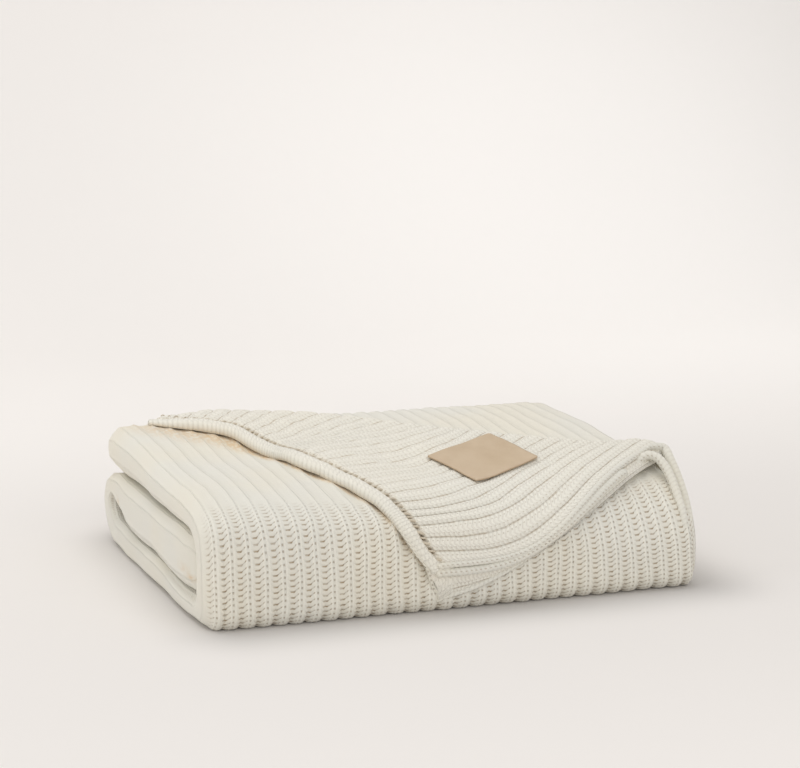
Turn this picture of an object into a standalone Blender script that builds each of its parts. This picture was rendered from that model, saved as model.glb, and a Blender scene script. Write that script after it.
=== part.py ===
"""Knit throw blanket, folded into a low stack, with the top corner of its cloth turned over.

The cloth is laid in one long strip that is folded over itself: the top layer runs forward, turns down
over the front edge, runs back along the surface, turns up at the back and comes forward again between
the two. The corner of the top ply is turned over on a slant and hangs down the front. A leather patch
is sewn to that corner. Metres, +Z up, the origin at the middle of the footprint.
"""
import math
from collections import namedtuple

import bmesh
import bpy
import numpy as np
from mathutils import Vector
from mathutils.bvhtree import BVHTree

MM = 0.001

# Driving dimensions of the folded throw
STACK_WIDTH = 0.440
EDGE_ROUND = 0.016
RIB_PITCH = 0.0139
RIB_RISE = 0.0024
EDGE_HALF_RIBS = 8
INNER_SPANS = 5
NOSE_INSET = 0.015
NOSE_RINGS = 3
REST_RISE = 0.0018
SAG_MIDDLE = 0.245
SAG_REACH = 0.200

# Driving dimensions of the corner that is turned over
FLAP_THICK = 0.0072
FLAP_RIBS = 27
BAND_WIDTH = 0.0145
BAND_RISE = 0.0016
TAPER = 0.12
ROLL_REACH = 0.0095
ROLL_SINK = 0.0040

# Driving dimensions of the leather patch
PATCH_LENGTH = 0.075
PATCH_WIDTH = 0.066
PATCH_THICK = 0.0016
PATCH_CORNER = 0.003
SEAT_GAP = 0.0003

# The strip's outer and inner face at its left and right ends, in the YZ plane, in millimetres, from the
# free end at the back of the top layer to the free end inside. "sag" is how far the outer face sinks in
# the middle of the front, and "rings" how many rings are cut up to the next row.
Fold = namedtuple("Fold", "name yo_l zo_l yi_l zi_l yo_r zo_r yi_r zi_r sag rings")
FOLDS = [
    Fold("back nose", 360, 84, 360, 76, 342, 95, 342, 87, 0, 1),
    Fold("back nose, round", 353, 96.5, 350, 68.5, 336, 102, 332, 80, 0, 1),
    Fold("top, back edge", 331, 107, 322, 67.5, 318, 107, 312, 76, 0, 1),
    Fold("top, back", 272, 111, 272, 69.2, 270, 108.5, 268, 75, 1, 2),
    Fold("top, middle", 180, 105, 180, 68.8, 180, 105, 180, 74, 4, 2),
    Fold("top, front", 100, 102, 100, 68.2, 100, 98, 100, 73, 9, 1),
    Fold("front shoulder", 52, 100, 50, 67.8, 56, 92.5, 54, 70, 12, 1),
    Fold("front shoulder, low", 14, 94, 34, 66, 28, 83, 36, 65.5, 11, 1),
    Fold("front, upper", -8, 82, 24, 58, 6, 66, 25, 56, 6, 1),
    Fold("front, middle", -14, 58, 21, 46, -9, 46, 21, 45, 1, 1),
    Fold("front, lower", -16, 30, 23, 32, -15, 24, 22, 32, 0, 1),
    Fold("front, low", -15, 10, 30, 22, -14, 8, 29, 23, 0, 1),
    Fold("front foot", -8, 1, 40, 18.5, -7, 1, 40, 19.5, 0, 1),
    Fold("bottom, front", 8, 0, 54, 18, 8, 0, 54, 19.5, 0, 1),
    Fold("bottom, middle", 150, 0, 150, 22.5, 150, 0, 150, 24, 0, 1),
    Fold("bottom, back", 285, 0, 280, 24, 268, 0, 264, 26, 0, 1),
    Fold("back foot", 322, 4, 306, 27, 304, 4, 288, 29, 0, 1),
    Fold("back turn, lower", 342, 19, 319, 35, 324, 20, 301, 37, 0, 1),
    Fold("back turn", 349, 39, 321, 42, 331, 42, 303, 45, 0, 1),
    Fold("back turn, upper", 341, 57, 312, 46, 322, 62, 294, 49, 0, 1),
    Fold("middle, back edge", 316, 66.8, 286, 36, 300, 72, 270, 40, 0, 1),
    Fold("middle, back", 264, 67.5, 250, 26.2, 252, 73, 236, 28, 0, 1),
    Fold("middle, middle", 150, 66.9, 150, 24, 150, 72, 150, 25.6, 0, 1),
    Fold("middle, front", 60, 66.2, 60, 19.8, 60, 69, 60, 21.6, 0, 1),
    Fold("inner nose, round", 37, 62, 37, 24, 37, 64, 37, 25, 0, 1),
    Fold("inner nose", 28, 52, 28, 34, 28, 54, 27, 36, 0, 0),
]

# The turned-over corner as sections across its ribs, from its narrow end at the back left to the selvedge,
# in millimetres. Each runs from the knitted band over two places between to the roll, where the ply turns
# over. "_a" is measured across the stack from its left end and "_r" from the front to the back along its
# face, and "_lift" is how far the ply's underside stands off the stack. "share" counts the ribs.
Flap = namedtuple("Flap", "share band_a band_r band_lift near_a near_r near_lift "
                  "far_a far_r far_lift roll_a roll_r roll_lift")
FLAP = [
    Flap(0.000, 45, 297, 2.4, 50, 305, 2.4, 56, 314, 3, 62, 323, 3),
    Flap(0.185, 84, 240, 2.4, 101, 254, 3, 116, 270, 5, 131, 287, 7),
    Flap(0.370, 105, 162, 2.4, 143, 182, 2.6, 182, 204, 6.5, 220, 219, 11),
    Flap(0.481, 116, 138, 2.4, 165, 157, 2.8, 214, 169, 7, 264, 180, 12),
    Flap(0.630, 138, 68, 2.4, 197, 88, 2.8, 258, 111, 8, 309, 145, 13),
    Flap(0.778, 157, 16, 2.4, 231, 33, 2.6, 300, 68, 6, 367, 104, 12),
    Flap(0.889, 165, -8, 2.4, 248, 1, 2.4, 325, 39, 5, 400, 79, 12),
    Flap(0.963, 176, -25, 2.4, 264, -18, 2.4, 349, 24, 5, 430, 72, 13),
    Flap(1.000, 186, -37, 2.4, 275, -24, 2.4, 360, 20, 5, 440, 63, 12),
]
SELVEDGE_FOOT = Flap(1.000, 199, -64, 2.4, 270, -36, 2.4, 362, 8, 3, 440, 54, 7)
FLAP_ROWS = 11

# The patch lies flat on the turned-over corner: its middle in the plan, its turn from the X axis, and how
# many squares it is cut into along each side
PATCH_MIDDLE = (0.279, 0.085)
PATCH_TURN = math.radians(22)
PATCH_SPANS = 8

KNIT_COLOUR = (0.80, 0.74, 0.66)
LEATHER_COLOUR = (0.62, 0.49, 0.34)


def smooth(t):
    """Ease from 0 to 1 with level ends."""
    t = np.clip(t, 0.0, 1.0)
    return t * t * (3.0 - 2.0 * t)


def tangents(points, knots):
    """Slopes of a smooth curve through the points, each from the parabola through its neighbours."""
    spans = np.diff(knots)
    slopes = np.diff(points, axis=0) / spans[:, None]
    inner = (slopes[:-1] * spans[1:, None] + slopes[1:] * spans[:-1, None]) / (spans[:-1] + spans[1:])[:, None]
    return np.vstack([slopes[:1], inner, slopes[-1:]])


def through(points, knots, t):
    """Point at t on the smooth curve through the points at their knots."""
    points = np.asarray(points, float)
    slopes = tangents(points, knots)
    i = int(np.clip(np.searchsorted(knots, t, side="right") - 1, 0, len(knots) - 2))
    span = knots[i + 1] - knots[i]
    f = (t - knots[i]) / span
    start = (1 + 2 * f) * (1 - f) ** 2 * points[i] + f * (1 - f) ** 2 * span * slopes[i]
    end = f * f * (3 - 2 * f) * points[i + 1] - f * f * (1 - f) * span * slopes[i + 1]
    return start + end


class Strip:
    """The folded strip's two faces, at any place along the fold and across the stack."""

    def __init__(self):
        self.rails = np.array([row[1:10] for row in FOLDS], float) * MM
        middle = self.rails[:, :8].reshape(len(FOLDS), 4, 2).mean(axis=1)
        steps = np.linalg.norm(np.diff(middle, axis=0), axis=1)
        self.knots = np.concatenate([[0.0], np.cumsum(steps)])
        self.flat_left = EDGE_ROUND
        self.flat_right = STACK_WIDTH - EDGE_ROUND
        self.run_table = self.measure_run()

    def faces(self, x, t):
        """Outer and inner face in the YZ plane at width x and place t along the fold."""
        rails = through(self.rails, self.knots, t)
        share = x / STACK_WIDTH
        mixed = rails[:4] * (1 - share) + rails[4:8] * share
        off = min(abs(x - SAG_MIDDLE) / SAG_REACH, 1.0)
        outer = mixed[:2] - np.array([0.0, rails[8] * math.cos(off * math.pi / 2) ** 2])
        return outer, mixed[2:]

    def point(self, x_flat, turn, t, lift, inset=0.0):
        """Point off the strip's skin: turn is 0 on the outer face, +-90 degrees at an edge."""
        outer, inner = self.faces(x_flat, t)
        middle = (outer + inner) / 2
        half = (outer - inner) / 2
        thick = np.linalg.norm(half)
        reach = EDGE_ROUND * math.sin(turn)
        skin = middle + half * math.cos(turn)
        place = np.array([x_flat + reach - math.copysign(inset, x_flat - STACK_WIDTH / 2), skin[0], skin[1]])
        side = thick * math.sin(turn)
        up = EDGE_ROUND * math.cos(turn) * half / thick
        normal = np.array([side, up[0], up[1]])
        normal /= np.linalg.norm(normal)
        return place + normal * lift

    def measure_run(self):
        """Distance along the outer face at mid width against the place along the fold."""
        places = np.linspace(0.0, self.knots[13], 400)
        face = np.array([self.faces(STACK_WIDTH / 2, t)[0] for t in places])
        length = np.concatenate([[0.0], np.cumsum(np.linalg.norm(np.diff(face, axis=0), axis=1))])
        datum = np.interp(self.knots[5], places, length)
        return places, FOLDS[5].yo_l * MM - (length - datum)

    def over(self, across, run, lift, wrap):
        """Point over the outer face, by the distance across the stack and the run along its face.

        Past the flat of the stack it follows the rounded edge where wrap is 1, and stays level where it is 0.
        """
        places, runs = self.run_table
        t = float(np.interp(run, runs[::-1], places[::-1]))
        flat = min(max(across, self.flat_left), self.flat_right)
        level = self.point(across, 0.0, t, lift)
        return level + wrap * (self.point(flat, (across - flat) / EDGE_ROUND, t, lift) - level)


def strip_ring(strip, t, fade, inset):
    """One ring of points round the strip: the outer face, the right edge, the inner face, the left edge."""
    half_ribs = int(round((strip.flat_right - strip.flat_left) / RIB_PITCH)) * 2
    ring = []
    for k in range(half_ribs + 1):
        x = strip.flat_left + (strip.flat_right - strip.flat_left) * k / half_ribs
        relief = (RIB_RISE / 2) * (1 if k % 2 else -1)
        ring.append(strip.point(x, 0.0, t, relief * fade, inset))
    for k in range(1, EDGE_HALF_RIBS):
        relief = (RIB_RISE / 2) * (1 if k % 2 else -1)
        turn = math.pi * k / EDGE_HALF_RIBS
        ring.append(strip.point(strip.flat_right, turn, t, relief * fade, inset))
    for k in range(INNER_SPANS + 1):
        x = strip.flat_right + (strip.flat_left - strip.flat_right) * k / INNER_SPANS
        ring.append(strip.point(x, math.pi, t, 0.0, inset))
    for k in range(1, EDGE_HALF_RIBS):
        relief = (RIB_RISE / 2) * (1 if k % 2 else -1)
        turn = -math.pi + math.pi * k / EDGE_HALF_RIBS
        ring.append(strip.point(strip.flat_left, turn, t, relief * fade, inset))
    return ring


def make_strip(strip):
    """The strip as one closed mesh, flat where it rests."""
    places = []
    for i, row in enumerate(FOLDS[:-1]):
        for k in range(row.rings):
            places.append(strip.knots[i] + (strip.knots[i + 1] - strip.knots[i]) * k / row.rings)
    places.append(strip.knots[-1])
    mesh = bmesh.new()
    rings = []
    for i, t in enumerate(places):
        end = min(i, len(places) - 1 - i)
        fade = min(1.0, end / 2)
        inset = NOSE_INSET * max(0.0, 1 - end / NOSE_RINGS) ** 2
        points = strip_ring(strip, t, fade, inset)
        rings.append([mesh.verts.new((x, y, z if z > REST_RISE else 0.0)) for x, y, z in points])
    for a, b in zip(rings, rings[1:]):
        for i in range(len(a)):
            j = (i + 1) % len(a)
            mesh.faces.new((a[i], b[i], b[j], a[j]))
    mesh.faces.new(rings[0])
    mesh.faces.new(list(reversed(rings[-1])))
    return finish_mesh("strip", mesh)


def flap_section(share):
    """The four places of the section at a share of the ribs: across, run and lift of each, in metres."""
    knots = np.array([row.share for row in FLAP])
    values = np.array([row[1:] for row in FLAP], float) * MM
    return through(values, knots, share).reshape(4, 3)


def flap_point(strip, section, v, lift, wrap=0.0):
    """Point over the stack on a section of the turned-over corner: v is 0 at the band, 1 at the roll."""
    across, run, stand_off = through(section, np.linspace(0.0, 1.0, 4), v)
    return strip.over(across, run, stand_off + lift, wrap)


def flap_rows(length, thick):
    """Rows from the band to the foot of the roll: place v, lift of the top, of the underside, rib share."""
    band = BAND_WIDTH / length
    roll = ROLL_REACH / length
    rows = [
        (0.0, thick * 0.50, thick * 0.05, 0.0),
        (band * 0.16, thick * 0.92, 0.0, 0.0),
        (band * 0.48, thick + BAND_RISE, 0.0, 0.0),
        (band * 0.80, thick + BAND_RISE * 0.3, 0.0, 0.0),
        (band, thick - RIB_RISE * 0.75, 0.0, 0.0),
    ]
    for k in range(FLAP_ROWS + 1):
        along = k / FLAP_ROWS
        rows.append((band * 1.12 + (1 - roll - band * 1.12) * along, thick, 0.0, 1.0))
    return rows


def roll_rows(length, thick, stand_off):
    """Rows of the roll: place v, lift of the top and the underside from the stack, rib share and wrap."""
    roll = ROLL_REACH / length
    crown = stand_off + thick
    return [
        (1 - roll * 0.45, crown * 0.86, stand_off * 0.75, 0.9, 0.15),
        (1 - roll * 0.12, crown * 0.52, -ROLL_SINK * 0.5, 0.6, 0.6),
        (1.0, -ROLL_SINK * 0.2, -ROLL_SINK, 0.0, 1.0),
    ]


def flap_column(strip, section, foot, thick, relief):
    """The points of one section of the turned-over corner: its top and its underside."""
    ends = flap_point(strip, section, 1.0, 0.0) - flap_point(strip, section, 0.0, 0.0)
    length = max(float(np.linalg.norm(ends)), 1.15 * (BAND_WIDTH + ROLL_REACH))
    top, under = [], []
    for v, high, low, ribbed in flap_rows(length, thick):
        top.append(flap_point(strip, section, v, high + relief * ribbed))
        under.append(flap_point(strip, foot, v, low))
    for v, high, low, ribbed, wrap in roll_rows(length, thick, section[3][2]):
        stand_off = through(section, np.linspace(0.0, 1.0, 4), v)[2]
        top.append(flap_point(strip, section, v, high - stand_off + relief * ribbed, wrap))
        under.append(flap_point(strip, foot, v, low - through(foot, np.linspace(0.0, 1.0, 4), v)[2], wrap))
    return top, under


def make_flap(strip, rise=RIB_RISE):
    """The turned-over corner as one closed mesh, whose roll runs into the strip."""
    mesh = bmesh.new()
    columns = FLAP_RIBS * 2
    tops, unders = [], []
    for k in range(columns + 1):
        section = flap_section(k / columns)
        foot = section
        if k == columns:
            foot = np.array(SELVEDGE_FOOT[1:], float).reshape(4, 3) * MM
        relief = (rise / 2) * (1 if k % 2 else -1)
        thick = FLAP_THICK * (0.4 + 0.6 * float(smooth(k / columns / TAPER)))
        top, under = flap_column(strip, section, foot, thick, relief)
        tops.append([mesh.verts.new(point) for point in top])
        unders.append([mesh.verts.new(point) for point in under])
    for a, b in zip(tops, tops[1:]):
        for i in range(len(a) - 1):
            mesh.faces.new((a[i], a[i + 1], b[i + 1], b[i]))
    for a, b in zip(unders, unders[1:]):
        for i in range(len(a) - 1):
            mesh.faces.new((a[i], b[i], b[i + 1], a[i + 1]))
    for top, under in ((tops[0], unders[0]), (tops[-1][::-1], unders[-1][::-1])):
        for i in range(len(top) - 1):
            mesh.faces.new((top[i], under[i], under[i + 1], top[i + 1]))
    for row, way in ((0, 1), (-1, -1)):
        for k in range(columns):
            quad = (tops[k][row], tops[k + 1][row], unders[k + 1][row], unders[k][row])
            mesh.faces.new(quad[::way])
    return finish_mesh("turned corner", mesh)


def bend_terms(x, y):
    """Terms of a gently bent surface over the plan."""
    return np.stack([np.ones_like(x), x, y, x * x, x * y, y * y], axis=-1)


def cloth_under(throw, places):
    """Heights of the cloth at places in the plan, found from above."""
    tree = BVHTree.FromPolygons([v.co for v in throw.data.vertices], [p.vertices[:] for p in throw.data.polygons])
    return np.array([tree.ray_cast(Vector((x, y, 1.0)), Vector((0, 0, -1)))[0].z for x, y in places])


def patch_steps(size):
    """Cuts along one side of the patch, with a short one at each end for its rounded corners."""
    inner = np.linspace(-size / 2 + PATCH_CORNER, size / 2 - PATCH_CORNER, PATCH_SPANS - 1)
    return np.concatenate([[-size / 2], inner, [size / 2]])


def patch_outline(i, j, s, t):
    """Place of a grid point on the patch: its four corners are drawn in to round them."""
    last = PATCH_SPANS
    if i in (0, last) and j in (0, last):
        inward = PATCH_CORNER * (1 - math.sqrt(0.5))
        return s - math.copysign(inward, s), t - math.copysign(inward, t)
    return s, t


def make_patch(throw):
    """The leather patch as a plate with the gentle bend of the cloth it lies on, clear of its ribs."""
    middle = np.array(PATCH_MIDDLE)
    along = np.array([math.cos(PATCH_TURN), math.sin(PATCH_TURN)])
    aside = np.array([-along[1], along[0]])
    spots = np.linspace(-0.5, 0.5, 41)
    places = [middle + along * a * PATCH_LENGTH + aside * b * PATCH_WIDTH for a in spots for b in spots]
    places = np.array(places)
    heights = cloth_under(throw, places)
    terms = bend_terms(places[:, 0] - middle[0], places[:, 1] - middle[1])
    bend = np.linalg.lstsq(terms, heights, rcond=None)[0]
    normal = np.array([-bend[1], -bend[2], 1.0])
    normal /= np.linalg.norm(normal)
    clear = (heights - terms @ bend).max() + SEAT_GAP / normal[2]
    first = np.array([along[0], along[1], along[0] * bend[1] + along[1] * bend[2]])
    first /= np.linalg.norm(first)
    second = np.cross(normal, first)
    mesh = bmesh.new()
    under, over = [], []
    for i, s in enumerate(patch_steps(PATCH_LENGTH)):
        for j, t in enumerate(patch_steps(PATCH_WIDTH)):
            s_in, t_in = patch_outline(i, j, s, t)
            off = first * s_in + second * t_in
            height = float(bend_terms(off[0], off[1]) @ bend) + clear
            place = np.array([middle[0] + off[0], middle[1] + off[1], height])
            under.append(mesh.verts.new(place))
            over.append(mesh.verts.new(place + normal * PATCH_THICK))
    side = PATCH_SPANS + 1
    for i in range(PATCH_SPANS):
        for j in range(PATCH_SPANS):
            a, b, c, d = i * side + j, (i + 1) * side + j, (i + 1) * side + j + 1, i * side + j + 1
            mesh.faces.new((over[a], over[b], over[c], over[d]))
            mesh.faces.new((under[d], under[c], under[b], under[a]))
    rim = [i * side for i in range(side)] + [(side - 1) * side + j for j in range(1, side)]
    rim += [i * side + side - 1 for i in range(side - 2, -1, -1)] + list(range(side - 2, 0, -1))
    for a, b in zip(rim, rim[1:] + rim[:1]):
        mesh.faces.new((under[a], under[b], over[b], over[a]))
    return finish_mesh("patch", mesh)


def finish_mesh(name, mesh):
    """Turn a bmesh into a smooth object with its faces pointing out."""
    bmesh.ops.recalc_face_normals(mesh, faces=mesh.faces)
    data = bpy.data.meshes.new(name)
    mesh.to_mesh(data)
    mesh.free()
    thing = bpy.data.objects.new(name, data)
    bpy.context.collection.objects.link(thing)
    return thing


def join(body, other):
    """Unite the other solid with the body and remove it."""
    tool = body.modifiers.new("join", "BOOLEAN")
    tool.operation = "UNION"
    tool.object = other
    graph = bpy.context.evaluated_depsgraph_get()
    data = bpy.data.meshes.new_from_object(body.evaluated_get(graph))
    body.modifiers.clear()
    body.data = data
    bpy.data.objects.remove(other, do_unlink=True)


def settle(things):
    """Shift the pieces so that the middle of their footprint is the origin."""
    corners = np.array([v.co for thing in things for v in thing.data.vertices])
    low, high = corners.min(axis=0), corners.max(axis=0)
    shift = np.array([(low[0] + high[0]) / 2, (low[1] + high[1]) / 2, low[2]])
    for thing in things:
        for v in thing.data.vertices:
            v.co = Vector(np.array(v.co) - shift)
        thing.data.polygons.foreach_set("use_smooth", [True] * len(thing.data.polygons))
        thing.data.update()


def give_material(thing, name, colour, roughness):
    """A plain material of one colour."""
    material = bpy.data.materials.new(name)
    material.use_nodes = True
    shader = material.node_tree.nodes["Principled BSDF"]
    shader.inputs["Base Color"].default_value = (*colour, 1.0)
    shader.inputs["Roughness"].default_value = roughness
    shader.inputs["Metallic"].default_value = 0.0
    thing.data.materials.clear()
    thing.data.materials.append(material)


def clear_scene():
    """Remove every object of the scene that is open."""
    for thing in list(bpy.data.objects):
        bpy.data.objects.remove(thing, do_unlink=True)


def main():
    """Build the throw and its patch."""
    clear_scene()
    strip = Strip()
    throw = make_strip(strip)
    join(throw, make_flap(strip))
    throw.name = "throw"
    patch = make_patch(throw)
    settle([throw, patch])
    give_material(throw, "knit", KNIT_COLOUR, 0.9)
    give_material(patch, "leather", LEATHER_COLOUR, 0.6)


main()
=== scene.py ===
"""A knit throw, folded into a low stack with one corner turned over, dressed over its solids.

The cloth is one long folded strip. Its skins are made fine enough to carry the ribs, and the stitches
are worked in the materials from a map of ribs and rows that follows the cloth.
"""

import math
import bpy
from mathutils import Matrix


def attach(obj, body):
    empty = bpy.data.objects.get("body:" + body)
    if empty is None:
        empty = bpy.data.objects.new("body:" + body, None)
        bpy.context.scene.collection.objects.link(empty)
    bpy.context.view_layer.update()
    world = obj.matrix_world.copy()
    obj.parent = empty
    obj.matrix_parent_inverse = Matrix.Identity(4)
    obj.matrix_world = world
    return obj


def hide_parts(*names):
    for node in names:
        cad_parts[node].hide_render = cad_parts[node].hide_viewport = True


bl_info = {
    "name": "Folded Knit Throw",
    "version": (1, 0, 0),
    "blender": (4, 5, 0),
    "location": "View3D > Sidebar > Throw",
    "description": "A folded rib-knit throw with a leather patch",
    "category": "Add Mesh",
}

from collections import namedtuple

import bpy
import numpy as np
from mathutils import Matrix, Vector
from mathutils.bvhtree import BVHTree

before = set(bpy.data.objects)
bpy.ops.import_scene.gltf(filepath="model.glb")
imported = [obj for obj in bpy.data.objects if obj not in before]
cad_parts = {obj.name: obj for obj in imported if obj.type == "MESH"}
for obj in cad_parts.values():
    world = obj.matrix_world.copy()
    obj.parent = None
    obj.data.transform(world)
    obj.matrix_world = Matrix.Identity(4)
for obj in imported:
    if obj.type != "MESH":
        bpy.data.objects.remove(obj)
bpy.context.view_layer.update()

MM = 0.001

# The folded stack, as in the solids
STACK_WIDTH = 0.440
EDGE_ROUND = 0.016
EDGE_SQUARE = 0.55
RIB_PITCH = 0.0139
EDGE_RIBS = 4
NOSE_INSET = 0.015
NOSE_RINGS = 3
SAG_MIDDLE = 0.245
SAG_REACH = 0.200
CENTRE = np.array([0.22087, 0.16689, 0.0])

# The corner that is turned over, as in the solids
FLAP_THICK = 0.0072
FLAP_RIBS = 27
BAND_WIDTH = 0.0145
TAPER = 0.12
ROLL_REACH = 0.0095
ROLL_SINK = 0.0040

# The leather patch, as in the solids
PATCH_MIDDLE = (0.278, 0.0872)
PATCH_TURN = math.radians(21)
PATCH_LENGTH = 0.0750
PATCH_WIDTH = 0.0655
PATCH_THICK = 0.0016
PATCH_CORNER = 0.003
PATCH_SLOPE = 0.965
SEAT_GAP = 0.0003

# How finely the strip is measured and the skins are made: points to a rib and to a stitch row of the
# stack, points to a rib and lines from the band to the roll of the turned corner, steps of the cords in
# metres, and the patch's grid with the margin and the rounds in which its heights are evened out
STRIP_SAMPLES = 4000
EDGE_SAMPLES = 120
RIB_CUTS = 6
ROW_CUTS = 3
UNDER_ROW_CUTS = 2
FLAP_CUTS = 7
FLAP_LINES = 190
CORD_STEP = 0.0016
CORD_SIDES = 12
PATCH_CUTS = 48
PATCH_MARGIN = 8
PATCH_REACH = 2
PATCH_ROUNDS = 26

# The camera, in pixels of the photo and metres from the stack's front-left corner
PHOTO_SIZE = (800.0, 768.0)
FOCAL_LENGTH = 2200.0
HORIZON = 22.0
CAMERA_YAW = math.radians(20.14)
CAMERA_PLACE = np.array([-0.4349, -1.6482, 0.478226])

# The studio lights: name, place, aim and size in metres, power in watts, and colour
LIGHTS = [
    ("overhead light", (-0.4, 0.4, 1.9), (0.0, 0.0, 0.0), 1.8, 12.0, (1.0, 0.985, 0.965)),
    ("front light", (0.2, -1.9, 1.1), (0.0, 0.0, 0.05), 1.4, 8.0, (1.0, 0.98, 0.955)),
    ("left light", (-2.0, -0.3, 0.40), (-0.2, 0.0, 0.05), 1.0, 4.5, (1.0, 0.985, 0.965)),
]
FLOOR_GAP = 0.0002


def rows(kind, *values):
    """A table of named tuples."""
    return [kind(*row) for row in values]


# The folded strip's outer and inner face, at the left end and at the right end, in millimetres, from the
# back edge of the top layer, over the front and the foot, to the nose of the middle layer
Fold = namedtuple("Fold", "name yo_l zo_l yi_l zi_l yo_r zo_r yi_r zi_r sag")
FOLDS = rows(
    Fold,
    ("back nose", 360, 84, 360, 76, 342, 95, 342, 87, 0),
    ("back nose, round", 353, 96.5, 350, 68.5, 336, 102, 332, 80, 0),
    ("top, back edge", 331, 107, 322, 67.5, 318, 107, 312, 76, 0),
    ("top, back", 272, 111, 272, 69.2, 270, 108.5, 268, 75, 1),
    ("top, middle", 180, 105, 180, 68.8, 180, 105, 180, 74, 4),
    ("top, front", 100, 102, 100, 68.2, 100, 98, 100, 73, 9),
    ("front shoulder", 52, 100, 50, 67.8, 56, 92.5, 54, 70, 12),
    ("front shoulder, low", 14, 94, 34, 66, 28, 83, 36, 65.5, 11),
    ("front, upper", -8, 82, 24, 58, 6, 66, 25, 56, 6),
    ("front, middle", -14, 58, 21, 46, -9, 46, 21, 45, 1),
    ("front, lower", -16, 30, 23, 32, -15, 24, 22, 32, 0),
    ("front, low", -15, 10, 30, 22, -14, 8, 29, 23, 0),
    ("front foot", -8, 1, 40, 18.5, -7, 1, 40, 19.5, 0),
    ("bottom, front", 8, 0, 54, 18, 8, 0, 54, 19.5, 0),
    ("bottom, middle", 150, 0, 150, 22.5, 150, 0, 150, 24, 0),
    ("bottom, back", 285, 0, 280, 24, 268, 0, 264, 26, 0),
    ("back foot", 322, 4, 306, 27, 304, 4, 288, 29, 0),
    ("back turn, lower", 342, 19, 319, 35, 324, 20, 301, 37, 0),
    ("back turn", 349, 39, 321, 42, 331, 42, 303, 45, 0),
    ("back turn, upper", 341, 57, 312, 46, 322, 62, 294, 49, 0),
    ("middle, back edge", 316, 66.8, 286, 36, 300, 72, 270, 40, 0),
    ("middle, back", 264, 67.5, 250, 26.2, 252, 73, 236, 28, 0),
    ("middle, middle", 150, 66.9, 150, 24, 150, 72, 150, 25.6, 0),
    ("middle, front", 60, 66.2, 60, 19.8, 60, 69, 60, 21.6, 0),
    ("inner nose, round", 37, 62, 37, 24, 37, 64, 37, 25, 0),
    ("inner nose", 28, 52, 28, 34, 28, 54, 27, 36, 0)
)
FRONT_ROW = 5
FOOT_ROW = 13
SQUARE_ROWS = [12, 14]

# The turned corner's sections: the band's edge, two places on the way, and the roll
Flap = namedtuple("Flap", "share band_a band_r band_lift near_a near_r near_lift "
                  "far_a far_r far_lift roll_a roll_r roll_lift")
FLAP = rows(
    Flap,
    (0.000, 34, 303, 2.4, 41, 311, 2.4, 49, 319, 3, 57, 327, 3),
    (0.185, 84, 240, 2.4, 101, 254, 3, 116, 270, 5, 131, 287, 7),
    (0.370, 105, 162, 2.4, 143, 182, 2.6, 182, 204, 6.5, 220, 219, 11),
    (0.481, 116, 138, 2.4, 165, 157, 2.8, 214, 169, 7, 264, 180, 12),
    (0.630, 138, 68, 2.4, 197, 88, 2.8, 258, 111, 8, 309, 145, 13),
    (0.778, 157, 16, 2.4, 231, 33, 2.6, 300, 68, 6, 367, 104, 12),
    (0.889, 165, -8, 2.4, 248, 1, 2.4, 325, 39, 5, 400, 79, 12),
    (0.963, 176, -25, 2.4, 263, -21, 2.4, 349, 24, 5, 430, 72, 13),
    (1.000, 186, -37, 2.4, 274, -28, 2.4, 360, 20, 5, 440, 63, 12)
)
SELVEDGE_FOOT = Flap(1.000, 199, -68, 1.8, 264, -44, 1.8, 362, 8, 3, 440, 54, 7)

# Where the selvedge cords run on past the roll and down the right end of the stack, in millimetres
CordPoint = namedtuple("CordPoint", "cord x y z radius")
CORDS_DOWN = rows(
    CordPoint,
    ("outer", 438.0, 59, 108.0, 4.2),
    ("outer", 439.0, 46, 98.5, 4.2),
    ("outer", 439.0, 30, 84.0, 4.2),
    ("outer", 438.5, 14, 65.0, 4.0),
    ("outer", 437.5, 3, 44.0, 3.6),
    ("outer", 436.0, 0, 24.0, 2.6),
    ("outer", 434.0, 2, 10.0, 1.2),
    ("inner", 397.9, 44.0, 90.7, 3.9),
    ("inner", 405.9, 47.0, 98.0, 3.9),
    ("inner", 413.1, 48.0, 103.6, 3.9),
    ("inner", 418.8, 46.0, 105.3, 3.9),
    ("inner", 423.7, 42.0, 103.5, 4.0),
    ("inner", 427.5, 36.0, 97.7, 4.2),
    ("inner", 429.5, 28.0, 89.4, 4.2),
    ("inner", 429.4, 16.0, 77.6, 4.0),
    ("inner", 429.0, 3.0, 63.6, 3.4),
    ("inner", 428.4, -4.0, 48.5, 3.0),
    ("inner", 428.0, -7.0, 33.4, 2.2),
    ("inner", 428.0, -7.0, 21.0, 1.0)
)

# The cord at the tip: its points by share of the lip along the hem, by place up the tip's end and by number
# along the band, and its radii in millimetres
TIP_HEM = (0.40, 0.30, 0.20, 0.11, 0.04)
TIP_RISE = (0.7, 0.35, 0.05)
TIP_BAND = (6, 14, 22)
TIP_RADII = (1.0, 1.9, 2.1, 2.0, 1.8, 1.6, 1.5, 1.6, 1.5, 1.3, 1.0, 0.7)

# A slow wander of the ribs sideways: the length of each wave along the fold and across the stack in
# metres, where it starts, and its size in millimetres
WAVES = ((0.137, 0.21, 0.0, 0.9), (0.071, -0.13, 1.1, 0.4), (0.233, 0.057, 2.3, 0.5))

# The ribs of the outer face stand out less on the flat top than on the front, and less on the left edge.
# Its knit opens as its normal turns to the front: where it starts, and over how much more turn. At the
# right it starts sooner: by how much, from which width on and over how much more width, in millimetres
TOP_RELIEF = 0.7
LEFT_RELIEF = 0.60
OPEN_TURN = (0.28, 0.65)
OPEN_SOONER = 0.30
OPEN_WIDTH = (340, 80)

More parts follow.
